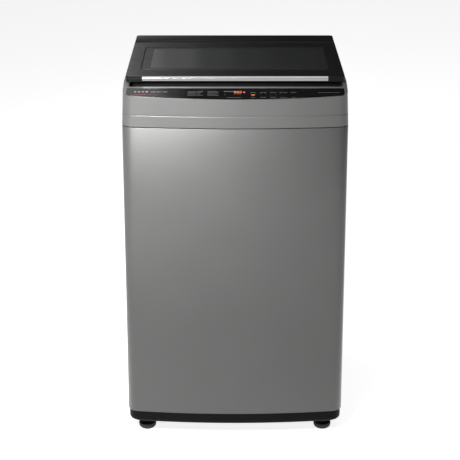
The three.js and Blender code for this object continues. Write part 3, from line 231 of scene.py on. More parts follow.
def grained_plastic(name, slot, color, roughness, grain=0.05, scale=1400, **sockets):
    """Moulded plastic with a spark-eroded grain and a little handling shine."""
    finish = Finish(name, slot, color, roughness, **sockets)
    pits = finish.cells(scale)
    cloud = finish.noise(24, 4)
    finish.tones(cloud * 0.6 + pits * 0.4, 1.16, 0.84)
    finish.set("Roughness", roughness - 0.06 + cloud * 0.12)
    finish.relief(pits + finish.noise(scale * 0.5, 3) * 0.6, grain, 0.6)
    return finish


def polished(name, slot, color, roughness):
    """A mirror finish with faint smears and hairlines."""
    finish = Finish(name, slot, color, roughness)
    smear = finish.rise(finish.noise(18, 5, (1, 2.5, 1)), 0.45, 0.75)
    hair = finish.rise(finish.noise(900, 2, (0.05, 1, 1)), 0.62, 0.7)
    finish.set("Roughness", roughness + smear * 0.07 + hair * 0.04)
    finish.tones(smear, 1.25, 1.0)
    finish.relief(finish.noise(60, 1), 0.01, 0.2)
    return finish


def bordered_glass(name, slot, color):
    """Tinted glass with a matt printed border round its clear middle."""
    finish = Finish(name, slot, color, 0.16)
    x, y = finish.axis("X"), finish.axis("Y")
    side, end = 0.023, 0.02
    middle = (x < GLASS_HIGH[0] * MM - side) * (x > GLASS_LOW[0] * MM + side)
    middle = middle * (y < GLASS_HIGH[1] * MM - end) * (y > GLASS_LOW[1] * MM + end)
    smear = finish.rise(finish.noise(16, 5, (1, 2.5, 1)), 0.45, 0.75)
    finish.set("Roughness", 0.42 - middle * 0.26 + smear * 0.06)
    finish.set("Base Color", finish.mix(middle, (0.004, 0.004, 0.004), color))
    finish.set("Alpha", 1 - middle * 0.1)
    finish.relief(finish.noise(60, 1), 0.01, 0.2)
    return finish


def plated(name, slot, color, roughness):
    """Bright plating with a few faint smears."""
    finish = Finish(name, slot, color, roughness, 1.0)
    smear = finish.rise(finish.noise(22, 4, (1, 2, 2)), 0.4, 0.8)
    finish.tones(smear, 1.0, 0.94)
    finish.set("Roughness", roughness + smear * 0.03)
    finish.relief(finish.noise(90, 1), 0.0006, 0.2)
    return finish


def brushed(name, slot, color, roughness, stretch=(0.02, 1, 1)):
    """Metal rubbed one way."""
    finish = Finish(name, slot, color, roughness, 1.0)
    lines = finish.noise(2400, 3, stretch)
    cloud = finish.noise(14, 3)
    finish.tones(lines * 0.7 + cloud * 0.3, 1.08, 0.86)
    finish.set("Roughness", roughness - 0.06 + lines * 0.1 + cloud * 0.05)
    finish.relief(lines, 0.012, 0.5)
    return finish


def zinc_sheet(name, slot, color):
    """Hot-dipped sheet with its large crystals."""
    finish = Finish(name, slot, color, 0.42, 0.85)
    tone = finish.cell_tones(70, "Green")
    fine = finish.noise(500, 3)
    finish.tones(tone * 0.7 + fine * 0.3, 1.12, 0.8)
    finish.set("Roughness", 0.34 + tone * 0.16)
    finish.relief(fine * 0.5 + finish.cells(70) * 0.5, 0.03, 0.4)
    return finish


def cast_metal(name, slot, color):
    """Sand-cast surface with dull skin."""
    finish = Finish(name, slot, color, 0.5, 0.9)
    skin = finish.noise(260, 5)
    patch = finish.noise(30, 3)
    finish.tones(skin * 0.5 + patch * 0.5, 1.1, 0.78)
    finish.set("Roughness", 0.42 + skin * 0.18)
    finish.relief(skin + finish.cells(900) * 0.4, 0.12, 0.6)
    return finish


def soft_rubber(name, slot, color):
    """Dull rubber with a little grey dust."""
    finish = Finish(name, slot, color, 0.78)
    dust = finish.rise(finish.noise(40, 4), 0.5, 0.8)
    finish.set("Base Color", finish.mix(dust * 0.35, color, (0.04, 0.038, 0.036)))
    finish.set("Roughness", 0.68 + dust * 0.16)
    finish.relief(finish.noise(700, 3), 0.08, 0.5)
    return finish


def drum_steel(name, slot, color):
    """Stainless sheet, brushed round the drum, with rows of drain holes painted near black as
    painted shade seen through them, and pressed dimples.
    """
    columns, pitch, width = 96, 0.016, 0.0141
    hole_radius, wall_low, wall_high = 0.0019, 0.290, 0.690
    finish = Finish(name, slot, color, 0.24, 1.0)
    x, y, z = (finish.axis(a) for a in "XYZ")
    column = finish.maths("ARCTAN2", y, x) * (columns / (2 * math.pi))
    row = z / pitch
    # Every other row is shifted by half a hole. The 200 keeps the sum above 0.
    stagger = finish.maths("PINGPONG", finish.maths("FLOOR", row), 1.0)
    dx = (finish.maths("FRACT", column + stagger * 0.5 + 200) - 0.5) * width
    dz = (finish.maths("FRACT", row) - 0.5) * pitch
    reach = finish.maths("SQRT", dx * dx + dz * dz)
    wall = (z > wall_low) * (z < wall_high)
    # The holes are only colour: near black and not metallic, painted shade for the dark gap seen
    # through them.
    hole = (reach < hole_radius) * wall
    rim = finish.rise(reach * 200, 0.38, 0.85)
    lines = finish.noise(2600, 2, (1, 1, 30))
    steel = finish.mix(lines, [c * 0.86 for c in color], color)
    finish.set("Base Color", finish.mix(hole, steel, (0.01, 0.01, 0.01)))
    finish.set("Metallic", 1 - hole)
    finish.set("Roughness", 0.2 + lines * 0.12 + hole * 0.5)
    finish.relief(rim * wall + lines * 0.02, 0.7, 0.6)
    return finish


def glow(name, slot, color, strength):
    """A lit segment or lamp."""
    finish = Finish(name, slot, [c * 0.3 for c in color], 0.4)
    grain = finish.noise(3000, 1)
    finish.set("Emission Color", finish.mix(grain, [c * 0.85 for c in color], color))
    finish.set("Emission Strength", strength)
    return finish


def board_green(name, slot, color):
    """Solder mask over faint copper tracks."""
    finish = Finish(name, slot, color, 0.35)
    tracks = finish.rise(finish.noise(220, 1, (1, 0.15, 1)), 0.48, 0.52)
    finish.tones(tracks, 1.5, 0.8)
    finish.relief(tracks, 0.05, 0.5)
    return finish


PAINT = sprayed_paint("graphite_paint", "graphite_paint", (0.088, 0.088, 0.0868))
MOULDING = sprayed_paint("painted_moulding", "grey_moulding", (0.097, 0.097, 0.0957), 0.37)
BLACK = grained_plastic(
    "black_moulding", "black_moulding", (0.0032, 0.0032, 0.0032), 0.5, Specular_IOR_Level=0.09
)
LID_BLACK = grained_plastic(
    "lid_black", "black_moulding", (0.0042, 0.0042, 0.004), 0.3, 0.004, 2400,
    Specular_IOR_Level=0.12,
)
GLOSS = polished("gloss_panel", "gloss_black", (0.002, 0.002, 0.0021), 0.12)
SMOKED = bordered_glass("smoked_glass", "smoked_glass", (0.012, 0.0125, 0.013))
CHROME = plated("bright_trim", "chrome_trim", (0.45, 0.45, 0.45), 0.18)
ZINC = zinc_sheet("zinc_sheet", "galvanised", (0.48, 0.49, 0.5))
STEEL = brushed("bright_steel", "steel", (0.5, 0.51, 0.52), 0.3, (1, 1, 0.05))
DRUM = drum_steel("drum_steel", "stainless", (0.62, 0.63, 0.64))
STAINLESS = brushed("stainless", "stainless", (0.6, 0.61, 0.62), 0.25)
WHITE = grained_plastic("white_moulding", "white_plastic", (0.36, 0.36, 0.345), 0.45, 0.03)
GREY = grained_plastic("grey_moulding", "grey_plastic", (0.17, 0.174, 0.18), 0.45, 0.03)
RUBBER = soft_rubber("black_rubber", "rubber", (0.008, 0.008, 0.008))
ALLOY = cast_metal("cast_alloy", "cast_alloy", (0.52, 0.53, 0.54))
BOARD = board_green("circuit_board", "board", (0.01, 0.09, 0.035))
INK = grained_plastic("panel_ink", "gloss_black", (0.035, 0.035, 0.038), 0.6, 0.0)
BRIGHT_INK = grained_plastic("bright_ink", "gloss_black", (0.12, 0.12, 0.12), 0.6, 0.0)
ROSE_INK = grained_plastic("rose_ink", "gloss_black", (0.09, 0.006, 0.018), 0.6, 0.0)
AMBER = glow("amber_light", "gloss_black", (1.0, 0.3, 0.05), 0.6)
RED = glow("red_light", "gloss_black", (1.0, 0.04, 0.14), 0.5)


# ---- Making pieces ----
def linked(name, data):
    """A new object of the scene."""
    made = bpy.data.objects.new(name, data)
    bpy.context.collection.objects.link(made)
    return made


def finish_piece(name, mesh, finish, body, replaces=(), edge=0.0, segments=2, smooth=32, wall=0.0):
    """Cleans a mesh, brings it to metres and fixes it to its body of the machine.

    A piece given no body is fixed to none. A wall of less than 0 grows outwards.
    """
    bmesh.ops.remove_doubles(mesh, verts=mesh.verts, dist=0.002)
    bmesh.ops.recalc_face_normals(mesh, faces=mesh.faces)
    bmesh.ops.scale(mesh, vec=(MM, MM, MM), verts=mesh.verts)
    data = bpy.data.meshes.new(name)
    mesh.to_mesh(data)
    mesh.free()
    data.materials.append(finish.material)
    data.shade_smooth()
    data.set_sharp_from_angle(angle=math.radians(smooth))
    piece = linked(name, data)
    if wall:
        solid = piece.modifiers.new("wall", "SOLIDIFY")
        solid.thickness = abs(wall) * MM
        solid.offset = -1 if wall > 0 else 1
        solid.use_even_offset = True
    if edge:
        rounded = piece.modifiers.new("edges", "BEVEL")
        rounded.width = edge * MM
        rounded.segments = segments
        rounded.limit_method = "ANGLE"
        rounded.angle_limit = math.radians(smooth)
        rounded.harden_normals = True
    if body:
        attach(piece, body)
    if replaces:
        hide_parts(*replaces)
    return piece


def edges_of(geometry):
    return [g for g in geometry if isinstance(g, bmesh.types.BMEdge)]


def verts_of(geometry):
    return [g for g in geometry if isinstance(g, bmesh.types.BMVert)]


def ends_of(edges):
    return list({v for e in edges for v in e.verts})


def bevel(mesh, geometry, width, segments, affect="EDGES"):
    bmesh.ops.bevel(
        mesh,
        geom=geometry,
        offset=width,
        offset_type="OFFSET",
        segments=segments,
        profile=0.5,
        affect=affect,
        clamp_overlap=True,
        material=-1,
    )


def slab(mesh, x0, y0, z0, x1, y1, z1, edge=0.0, segments=2):
    """A block between two corners, with its edges rounded."""
    made = bmesh.ops.create_cube(mesh, size=1)["verts"]
    bmesh.ops.scale(mesh, vec=(x1 - x0, y1 - y0, z1 - z0), verts=made)
    bmesh.ops.translate(mesh, vec=((x0 + x1) / 2, (y0 + y1) / 2, (z0 + z1) / 2), verts=made)
    if edge:
        bevel(mesh, list({e for v in made for e in v.link_edges}), edge, segments)
    return made


def slabs_round(mesh, corners, count, start=0.0, place=(0, 0, 0)):
    """The same block a number of times round a place."""
    for i in range(count):
        made = slab(mesh, *corners)
        turn = Matrix.Rotation(2 * math.pi * i / count + start, 4, "Z")
        bmesh.ops.transform(mesh, matrix=Matrix.Translation(place) @ turn, verts=made)


def polygon(mesh, corners):
    """One face through a few points."""
    return mesh.faces.new([mesh.verts.new(c) for c in corners])


def outline(mesh, corners, rounds, z=0.0):
    """A closed loop of edges through (x, y) corners, each rounded by its own radius."""
    before = set(mesh.edges)
    face = polygon(mesh, [(x, y, z) for x, y in corners])
    for vert, radius in zip(list(face.verts), rounds):
        if radius:
            bevel(mesh, [vert], radius, 8 if radius > 40 else 5, "VERTICES")
    made = [e for e in mesh.edges if e not in before]
    faces = list({f for e in made for f in e.link_faces})
    bmesh.ops.delete(mesh, geom=faces, context="FACES_ONLY")
    return made


def box_outline(mesh, x0, y0, x1, y1, radius, z=0.0):
    return outline(mesh, [(x0, y0), (x1, y0), (x1, y1), (x0, y1)], [radius] * 4, z)


def ring_outline(mesh, x, y, radius, z=0.0, segments=40):
    place = Matrix.Translation((x, y, z))
    made = bmesh.ops.create_circle(mesh, segments=segments, radius=radius, matrix=place)["verts"]
    return list({e for v in made for e in v.link_edges})


def filled(mesh, loops, use_dissolve=False):
    """Fills loops that may hold other loops."""
    edges = [e for loop in loops for e in loop]
    made = bmesh.ops.triangle_fill(
        mesh, use_beauty=True, use_dissolve=use_dissolve, edges=edges
    )["geom"]
    return [g for g in made if isinstance(g, bmesh.types.BMFace)]


def raised(mesh, faces, offset):
    """Extrudes faces by an offset; gives the verts of the new end."""
    made = verts_of(bmesh.ops.extrude_face_region(mesh, geom=faces)["geom"])
    bmesh.ops.translate(mesh, vec=offset, verts=made)
    return made


def plate(mesh, loops, thickness):
    """Fills loops and raises the sheet by its thickness; gives the verts of its top."""
    return raised(mesh, filled(mesh, loops), (0, 0, thickness))


def extended(mesh, edges):
    """A new row of faces along open edges; gives the verts and edges of its far side."""
    made = bmesh.ops.extrude_edge_only(mesh, edges=edges)["geom"]
    return verts_of(made), edges_of(made)


def scaled(mesh, verts, across, along, middle):
    """Scales a level loop about a point, in x and in y."""
    bmesh.ops.scale(mesh, vec=(across, along, 1), verts=verts, space=Matrix.Translation(-middle))


def cut(mesh, axis, place, touched=lambda face: True):
    """Splits some faces along a plane square to an axis, counted from x."""
    faces = [f for f in mesh.faces if touched(f)]
    geometry = list({g for f in faces for g in [*f.verts, *f.edges, f]})
    spot, across = Vector(), Vector()
    spot[axis], across[axis] = place, 1
    bmesh.ops.bisect_plane(mesh, geom=geometry, dist=0.001, plane_co=spot, plane_no=across)


def remove_faces(mesh, unwanted):
    """Deletes the faces whose middle is in the wrong place."""
    faces = [f for f in mesh.faces if unwanted(f.calc_center_median())]
    bmesh.ops.delete(mesh, geom=faces, context="FACES")


def bowed_loop(mesh, edges, y, cuts, reach):
    """Divides a loop's front edge, which lies at y, and bows the points within reach of it."""
    front = [e for e in edges if all(abs(v.co.y - y) < 0.01 for v in e.verts)]
    bmesh.ops.subdivide_edges(mesh, edges=front, cuts=cuts, use_grid_fill=False)
    # Dividing replaces edges, so the loop is collected afresh: it has no faces yet.
    edges = [e for e in mesh.edges if e.is_wire]
    for v in ends_of(edges):
        if v.co.y < y + reach:
            v.co.y += BOW * min(abs(v.co.x) / HALF, 1.0) ** 2
    return edges


def body_loop(mesh, z):
    """The machine's plan: bowed front, round front corners, straight sides and back."""
    corners = [(-HALF, FRONT), (HALF, FRONT), (HALF, BACK), (-HALF, BACK)]
    edges = outline(mesh, corners, [FRONT_ROUND, FRONT_ROUND, BACK_ROUND, BACK_ROUND], z)
    return bowed_loop(mesh, edges, FRONT, 31, FRONT_ROUND + 1)


def narrow(mesh, verts, inset, before=0.0):
    """Brings a plan loop from one inset to another, on all sides."""
    deep = (BACK - FRONT) / 2
    across = (HALF - inset) / (HALF - before)
    scaled(mesh, verts, across, (deep - inset) / (deep - before), PLAN_MIDDLE)


def body_band(mesh, section):
    """Carries a section of (inset, height) steps round the machine; gives the last loop."""
    inset, z = section[0]
    edges = body_loop(mesh, z)
    narrow(mesh, ends_of(edges), inset)
    for next_inset, next_z in section[1:]:
        verts, edges = extended(mesh, edges)
        narrow(mesh, verts, next_inset, inset)
        bmesh.ops.translate(mesh, vec=(0, 0, next_z - z), verts=verts)
        inset, z = next_inset, next_z
    return edges


def turned(mesh, profile, steps, place=(0, 0, 0), turn=Matrix.Identity(4)):
    """Spins (radius, height) points about an axis, which a matrix turns away from +Z."""
    before = set(mesh.verts)
    verts = [mesh.verts.new((r, 0, z)) for r, z in profile]
    edges = [mesh.edges.new(pair) for pair in zip(verts, verts[1:])]
    bmesh.ops.spin(
        mesh,
        geom=verts + edges,
        axis=(0, 0, 1),
        cent=(0, 0, 0),
        angle=2 * math.pi,
        steps=steps,
        use_merge=True,
        use_duplicate=False,
    )
    made = [v for v in mesh.verts if v not in before]
    bmesh.ops.transform(mesh, matrix=Matrix.Translation(place) @ turn, verts=made)
    return made


def turned_piece(name, profile, steps, finish, body, node, place=(0, 0, 0), turn=Matrix.Identity(4),
                 **looks):
    mesh = bmesh.new()
    turned(mesh, profile, steps, place, turn)
    return finish_piece(name, mesh, finish, body, [node], **looks)


def rounded_profile(points, radius, closed=False):
    """A chain of (radius, height) points with its inner corners rounded."""
    steps = 3
    made = [points[0]]
    for before, here, after in zip(points, points[1:], points[2:]):
        here = Vector(here)
        a, b = Vector(before) - here, Vector(after) - here
        size = min(radius, a.length * 0.45, b.length * 0.45)
        start = here + a.normalized() * size
        end = here + b.normalized() * size
        for i in range(steps + 1):
            t = i / steps
            made.append(tuple(start * (1 - t) ** 2 + here * 2 * t * (1 - t) + end * t * t))
    made.append(points[-1])
    return made + [points[0]] if closed else made


def sideways(mesh, profile, x0, x1):
    """A side profile of (y, z) points run from x0 to x1."""
    face = polygon(mesh, [(x0, y, z) for y, z in profile])
    raised(mesh, [face], (x1 - x0, 0, 0))


def hinge_arc(z, radius, turn, steps):
    """Points of half a circle round the hinge's axis, from its top, as (y, z)."""
    angles = [math.pi / 2 + turn * math.pi * i / steps for i in range(steps + 1)]
    return [(HINGE_Y + radius * math.cos(a), z + radius * math.sin(a)) for a in angles]


TO_BACK = Matrix.Rotation(-math.pi / 2, 4, "X")
ON_PANEL = Matrix.Translation(PANEL_FOOT) @ Matrix.Rotation(PANEL_TILT, 4, "X")


def to_panel(mesh):
    """Lays a flat mesh on the sloping panel, whose own y runs up the slope."""
    bmesh.ops.transform(mesh, matrix=ON_PANEL, verts=mesh.verts)


# ---- Cabinet ----
def cabinet_sheet():
    """The wrapped sheet, open at the back."""
    mesh = bmesh.new()
    low, high, back = CABINET_LOW[2], CABINET_HIGH[2], CABINET_HIGH[1]
    lower = [(14, low), (1.2, low), (0.35, low + 0.25), (0, low + 1.2)]
    upper = [(0, high - 0.4), (0.12, high - 0.1), (0.4, high), (14, high)]
    body_band(mesh, lower + upper)
    for v in mesh.verts:
        v.co.y = min(v.co.y, back)
    open_back = [
        f for f in mesh.faces
        if f.calc_center_median().y > back - 0.5 and abs(f.normal.y) > 0.9
    ]
    bmesh.ops.delete(mesh, geom=open_back, context="FACES")
    finish_piece("cabinet_sheet", mesh, PAINT, "cabinet", ["cabinet_wrap"], wall=0.9, smooth=50)


def rod_gussets():
    """A plate across each top corner, which a rod hangs from."""
    mesh = bmesh.new()
    low = CABINET_HIGH[2] - 28
    corners = [(24, 0), (146, 0), (0, 146), (0, 24)]
    for sx in (-1, 1):
        for sy in (-1, 1):
            x = sx * (HALF - 2)
            y = FRONT + BOW + 2 if sy < 0 else CABINET_HIGH[1] - 2
            face = polygon(mesh, [(x - sx * a, y - sy * b, low) for a, b in corners])
            raised(mesh, [face], (0, 0, 2.8))
    finish_piece("rod_gussets", mesh, ZINC, "cabinet", edge=0.5)


def rear_flanges():
    """The folded edges that the back panel screws to."""
    mesh = bmesh.new()
    y1, width = CABINET_HIGH[1], 32
    low, high = CABINET_LOW[2] + 2, CABINET_HIGH[2] - 2
    inner, outer = HALF - width, HALF - 2
    for x0, z0, x1, z1 in (
        (-outer, low, -inner, high),
        (inner, low, outer, high),
        (-inner, high + 2 - width, inner, high),
        (-inner, low, inner, low - 2 + width),
    ):
        slab(mesh, x0, y1 - 1, z0, x1, y1, z1)
    finish_piece("rear_flanges", mesh, PAINT, "cabinet")


def back_panel():
    """Zinc sheet with a pressed field, stiffening ribs and holes for the outlet and the gland."""
    mesh = bmesh.new()
    half, low, high = BACK_HIGH[0], BACK_LOW[2], BACK_HIGH[2]
    x0, z0, x1, z1 = -half + 70, low + 110, half - 70, high - 120
    rim = box_outline(mesh, -half, low, half, high, 6)
    field = box_outline(mesh, x0, z0, x1, z1, 14)
    holes = []
    for node, radius in (("drain_outlet", 15.4), ("cord_gland", 9.6)):
        x, _, z = centre(node)
        holes.append(ring_outline(mesh, x, z, radius))
    filled(mesh, [rim, field, *holes])
    middle = Vector(((x0 + x1) / 2, (z0 + z1) / 2, 0))
    for shrink, drop in ((0.994, 0.8), (0.988, 2.2), (0.984, 3.0)):
        verts, field = extended(mesh, field)
        size = (x1 - x0) / 2 * shrink / (max(v.co.x for v in verts) - middle.x)
        scaled(mesh, verts, size, size, middle)
        bmesh.ops.translate(mesh, vec=(0, 0, -drop - verts[0].co.z), verts=verts)
    filled(mesh, [field], use_dissolve=True)
    ribs = 6
    for i in range(ribs):
        z = z0 + (z1 - z0) * (i + 0.5) / ribs
        slab(mesh, x0 + 46, z - 7, -3.2, x1 - 46, z + 7, -0.6, 2.4, 3)
    # The plate was drawn flat: its y becomes the height and its outside faces the back.
    outside = BACK_HIGH[1] - 0.1
    stand = Matrix(((1, 0, 0, 0), (0, 0, 1, outside), (0, 1, 0, 0), (0, 0, 0, 1)))
    bmesh.ops.transform(mesh, matrix=stand, verts=mesh.verts)
    finish_piece("back_sheet", mesh, ZINC, "cabinet", ["back_panel"])


def rear_screws():
    """Pan heads with a cross recess."""
    mesh = bmesh.new()
    nodes = [f"rear_screw_{i}" for i in range(1, 5)]
    head = [(0, 1.1), (1.1, 1.1), (1.6, 2.2), (3.2, 2.2), (4.4, 1.5), (4.8, 0.6), (4.9, 0), (0, 0)]
    for node in nodes:
        x, _, z = centre(node)
        middle = Vector((x, span(node)[1][1] - 2.6, z))
        # Alternate points of the recess are drawn in, which leaves a cross.
        for v in turned(mesh, head, 16, middle, TO_BACK):
            away = v.co - middle
            quarter = math.degrees(math.atan2(away.z, away.x)) % 90
            if 1.3 < math.hypot(away.x, away.z) < 1.9:
                pull = 1.45 if quarter < 5 or quarter > 85 else 0.55
                v.co.x = middle.x + away.x * pull
                v.co.z = middle.z + away.z * pull
    finish_piece("back_screws", mesh, STEEL, "cabinet", nodes)


def base_skirt():
    """The black rim under the cabinet, rounded below and hollow."""
    mesh = bmesh.new()
    low, high = BASE_LOW[2], BASE_HIGH[2]
    inset, wall, curve = HALF - BASE_HIGH[0], 3.5, 10
    section = [(inset + wall, high), (inset, high), (inset, low + curve)]
    for i in range(1, 6):
        a = i / 6 * math.pi / 2
        section.append((inset + 9 * (1 - math.cos(a)), low + curve - curve * math.sin(a)))
    section += [(inset + 9, low), (inset + 14, low), (inset + 14, low + 4), (inset + 8, low + 5),
                (inset + 4, low + curve), (inset + wall, high)]
    body_band(mesh, section)
    finish_piece("base_skirt", mesh, BLACK, "cabinet", ["base_frame"])


def base_deck():
    """The base's plate with its large opening, and a ribbed socket for each foot."""
    mesh = bmesh.new()
    low, high = BASE_LOW[2], BASE_HIGH[2]
    opening, bore, socket = 173.5, 5.4, 15
    edges = body_loop(mesh, high - 4)
    narrow(mesh, ends_of(edges), 6)
    plate(mesh, [edges, ring_outline(mesh, 0, 0, opening, high - 4, 96)], 3.9)
    profile = [(bore, low + 0.2), (socket, low + 0.2), (socket, high - 3), (bore, high - 3)]
    for corner in CORNERS:
        x, y, _ = centre("foot_" + corner)
        turned(mesh, profile, 32, (x, y, 0))
        slabs_round(mesh, (14, -1, low + 3, 27, 1, high - 3), 6, place=(x, y, 0))
    finish_piece("base_deck", mesh, BLACK, "cabinet", edge=0.4)


def feet():
    """Rubber pads on threaded studs; only the front ones turn."""
    pad = [(0, 0), (14, 0), (19, 3), (22, 8), (22, 16), (11, 19), (11, 36.6), (5, 36.7)]
    turns = 26
    for corner in CORNERS:
        node = "foot_" + corner
        top = span(node)[1][2]
        x, y, _ = centre(node)
        mesh = bmesh.new()
        turned(mesh, rounded_profile(pad, 2.4), 48, (x, y, 0))
        # Grip ribs round the pad, so that it can be turned by hand.
        for v in mesh.verts:
            away = Vector((v.co.x - x, v.co.y - y))
            if away.length > 21.5 and 7 < v.co.z < 17:
                around = math.atan2(away.y, away.x)
                away *= 1 - 0.02 * (1 - math.cos(16 * around)) / 2
                v.co.x, v.co.y = x + away.x, y + away.y
        stud = [(5, 36.5)]
        for i in range(turns):
            z = 37 + i * (top - 38) / turns
            stud += [(4.9, z), (4.2, z + 0.8)]
        turned(mesh, stud + [(4, top), (0, top)], 20, (x, y, 0))
        body = node if corner.startswith("front") else "cabinet"
        finish_piece("levelling_" + node, mesh, RUBBER, body, [node])


# ---- Top cover and panel ----
def top_moulding():
    """The painted collar: a leaning skirt with a groove, the sloping front and the lid's rails."""
    mesh = bmesh.new()
    low, high = COVER_LOW[2], COVER_HIGH[2]
    groove = PANEL_FOOT.z - 39

    def lean(z):
        return TAPER * (z - low) / (high - low)

    section = [(3, low), (0.9, low), (0.9, low + 1.5), (0.3, low + 1.6), (0, low + 2)]
    for step, extra in ((-2.8, 0), (-2.3, 0.8), (-0.4, 0.8), (0.1, 0)):
        section.append((lean(groove + step) + extra, groove + step))
    section.append((lean(high), high))
    filled(mesh, [body_band(mesh, section)], use_dissolve=True)
    sliced = bmesh.ops.bisect_plane(
        mesh,
        geom=mesh.verts[:] + mesh.edges[:] + mesh.faces[:],
        dist=0.001,
        plane_co=PANEL_FOOT,
        plane_no=(0, -math.sin(PANEL_TILT), math.cos(PANEL_TILT)),
        clear_outer=True,
    )
    rim = [e for e in edges_of(sliced["geom_cut"]) if e.is_boundary]
    bmesh.ops.holes_fill(mesh, edges=rim, sides=0)

    # The well that the deck lies in.
    side, back = DECK_HIGH[0] + 0.3, DECK_HIGH[1] + 0.3
    for axis, place in ((0, side), (0, -side), (1, PANEL_BACK), (1, back)):
        cut(mesh, axis, place, lambda f: f.calc_center_median().z > groove + 1)
    remove_faces(mesh, lambda c: abs(c.x) < side and PANEL_BACK < c.y < back and c.z > high - 12)

    # The way out for the water inlet, in the back wall.
    inlet_top = span("inlet_valve")[1][2]
    x0, x1 = INLET_X - 14.8, INLET_X + 14.8
    z0, z1 = inlet_top - 31, inlet_top + 1
    for axis, place in ((0, x0), (0, x1), (2, z0), (2, z1)):
        cut(mesh, axis, place,
            lambda f: f.calc_center_median().y > BACK - 6 and abs(f.normal.y) > 0.5)
    remove_faces(mesh, lambda c: c.y > BACK - 6 and x0 < c.x < x1 and z0 < c.z < z1)

    well = [e for e in mesh.edges if e.is_boundary and sum(v.co.z for v in e.verts) / 2 > high - 12]
    for v in extended(mesh, well)[0]:
        v.co.z = high - 30
    finish_piece("top_moulding", mesh, MOULDING, "cabinet", ["top_cover"], 0.9, 3, smooth=24)


def seam_shade_strip():
    """A black strip in the seam between the cabinet and the top moulding: painted shade for the
    shadow in the gap.
    """
    mesh = bmesh.new()
    low, high = COVER_LOW[2] + 0.1, COVER_LOW[2] + 1.55
    body_band(mesh, [(0.95, low), (0.5, low), (0.5, high), (0.95, high)])
    finish_piece("seam_shade_strip", mesh, BLACK, "cabinet")


def key_x(i):
    """The middle of a key, across the panel."""
    return centre(f"key_{i}")[0]


def panel_insert():
    """The gloss strip, with a hole for each key."""
    mesh = bmesh.new()
    thick = 2.5
    low, high = 3, PANEL_SLOPE - 8
    corners = [(-PANEL_END, low), (PANEL_END, low), (PANEL_END, high), (-PANEL_END, high)]
    rim = bowed_loop(mesh, outline(mesh, corners, [0, 0, 2.5, 2.5]), low, 39, 0.1)
    holes = []
    for i in range(1, 6):
        x = key_x(i)
        holes.append(box_outline(mesh, x - 6.7, KEY_UP - 3.8, x + 6.7, KEY_UP + 3.8, 3.7))
    plate(mesh, [rim, *holes], thick)
    front_corners = [
        e for e in mesh.edges
        if all(abs(abs(v.co.x) - PANEL_END) < 0.01 and v.co.y < 26 for v in e.verts)
        and abs(e.verts[0].co.z - e.verts[1].co.z) > 1
    ]
    bevel(mesh, front_corners, 7.5, 6)
    bmesh.ops.translate(mesh, vec=(0, 0, PANEL_PROUD - thick), verts=mesh.verts)
    to_panel(mesh)
    finish_piece("panel_insert", mesh, GLOSS, "cabinet", ["control_panel"], edge=0.3)


def keys():
    """Caps that stand level with the gloss strip."""
    for i in range(1, 6):
        mesh = bmesh.new()
        x = key_x(i)
        rim = box_outline(mesh, x - 6.4, KEY_UP - 3.5, x + 6.4, KEY_UP + 3.5, 3.4, -3.8)
        plate(mesh, [rim], 4.05)
        to_panel(mesh)
        finish_piece(f"key_cap_{i}", mesh, GLOSS, f"key_{i}", [f"key_{i}"], 0.35, 3)


def panel_marks():
    """Printed bars and lights. They stand for legends and say nothing."""
    lift = PANEL_PROUD + 0.01

    def up(y):
        return (y - PANEL_FOOT.y) / math.cos(PANEL_TILT)

    def bar(x0, y, x1, height):
        """From x0 to x1, and from the machine's y up the slope."""
        return x0, up(y), x1, up(y) + height

    def bars(name, finish, marks):
        mesh = bmesh.new()
        for x0, y0, x1, y1 in marks:
            slab(mesh, x0, y0, lift, x1, y1, lift + 0.05)
        to_panel(mesh)
        finish_piece(name, mesh, finish, "cabinet")

    faint = []
    for row in range(4):
        y = up(-241) - 6 * row * 0.95
        for x0, x1 in ((-113, -93 + 3 * (row % 2)), (-90, -76 - 4 * (row % 3)),
                       (-66, -42 + 3 * (row % 2))):
            faint.append((x0, y, x1, y + 1.5))
    for i, half in enumerate((6, 8, 8, 9, 6), 1):
        x = key_x(i)
        faint.append(bar(x - half, -245.5, x + half, 1.6))
        faint.append(bar(x - half + 1, -267, x + half - 1, 1.6))
    faint += [bar(-27, -242, -4, 3.2), bar(-20, -268, 14, 1.6)]
    faint += [bar(x, -254, x + 3, 1.4) for x in (-26, -4, 3, 9)]
    faint.append(bar(196, -246, 247, 1.5))
    bars("legend_bars", INK, faint)
    mark = [bar(-239 + 9 * i, -244, -234 + 9 * i, 4.6) for i in range(4)]
    mark += [bar(-200 + 14 * i, -243, -189 + 14 * i, 1.6) for i in range(3)]
    bars("maker_bars", BRIGHT_INK, mark)
    bars("rose_line", ROSE_INK, [bar(-241, -256, -212, 2.2), bar(-209, -256, -186, 1.2)])

    # The display's digits, by the letters of their lit segments.
    lights = []
    w, h, t = 4.4, 9.4, 1.1
    y = up(-248)
    for place, lit in enumerate(("abcdef", "abcdef", "abged")):
        x = -2.5 + place * 6.4
        segments = {
            "a": (x, y + h - t, x + w, y + h),
            "b": (x + w - t, y + h / 2, x + w, y + h),
            "c": (x + w - t, y, x + w, y + h / 2),
            "d": (x, y, x + w, y + t),
            "e": (x, y, x + t, y + h / 2),
            "f": (x, y + h / 2, x + t, y + h),
            "g": (x, y + h / 2 - t / 2, x + w, y + h / 2 + t / 2),
        }
        lights += [segments[s] for s in lit]
    lights.append(bar(key_x(1) - 4, -257, key_x(1) + 4, 2.6))
    bars("amber_lights", AMBER, lights)
    bars("red_light", RED, [bar(18.5, -246, 23.5, 5)])


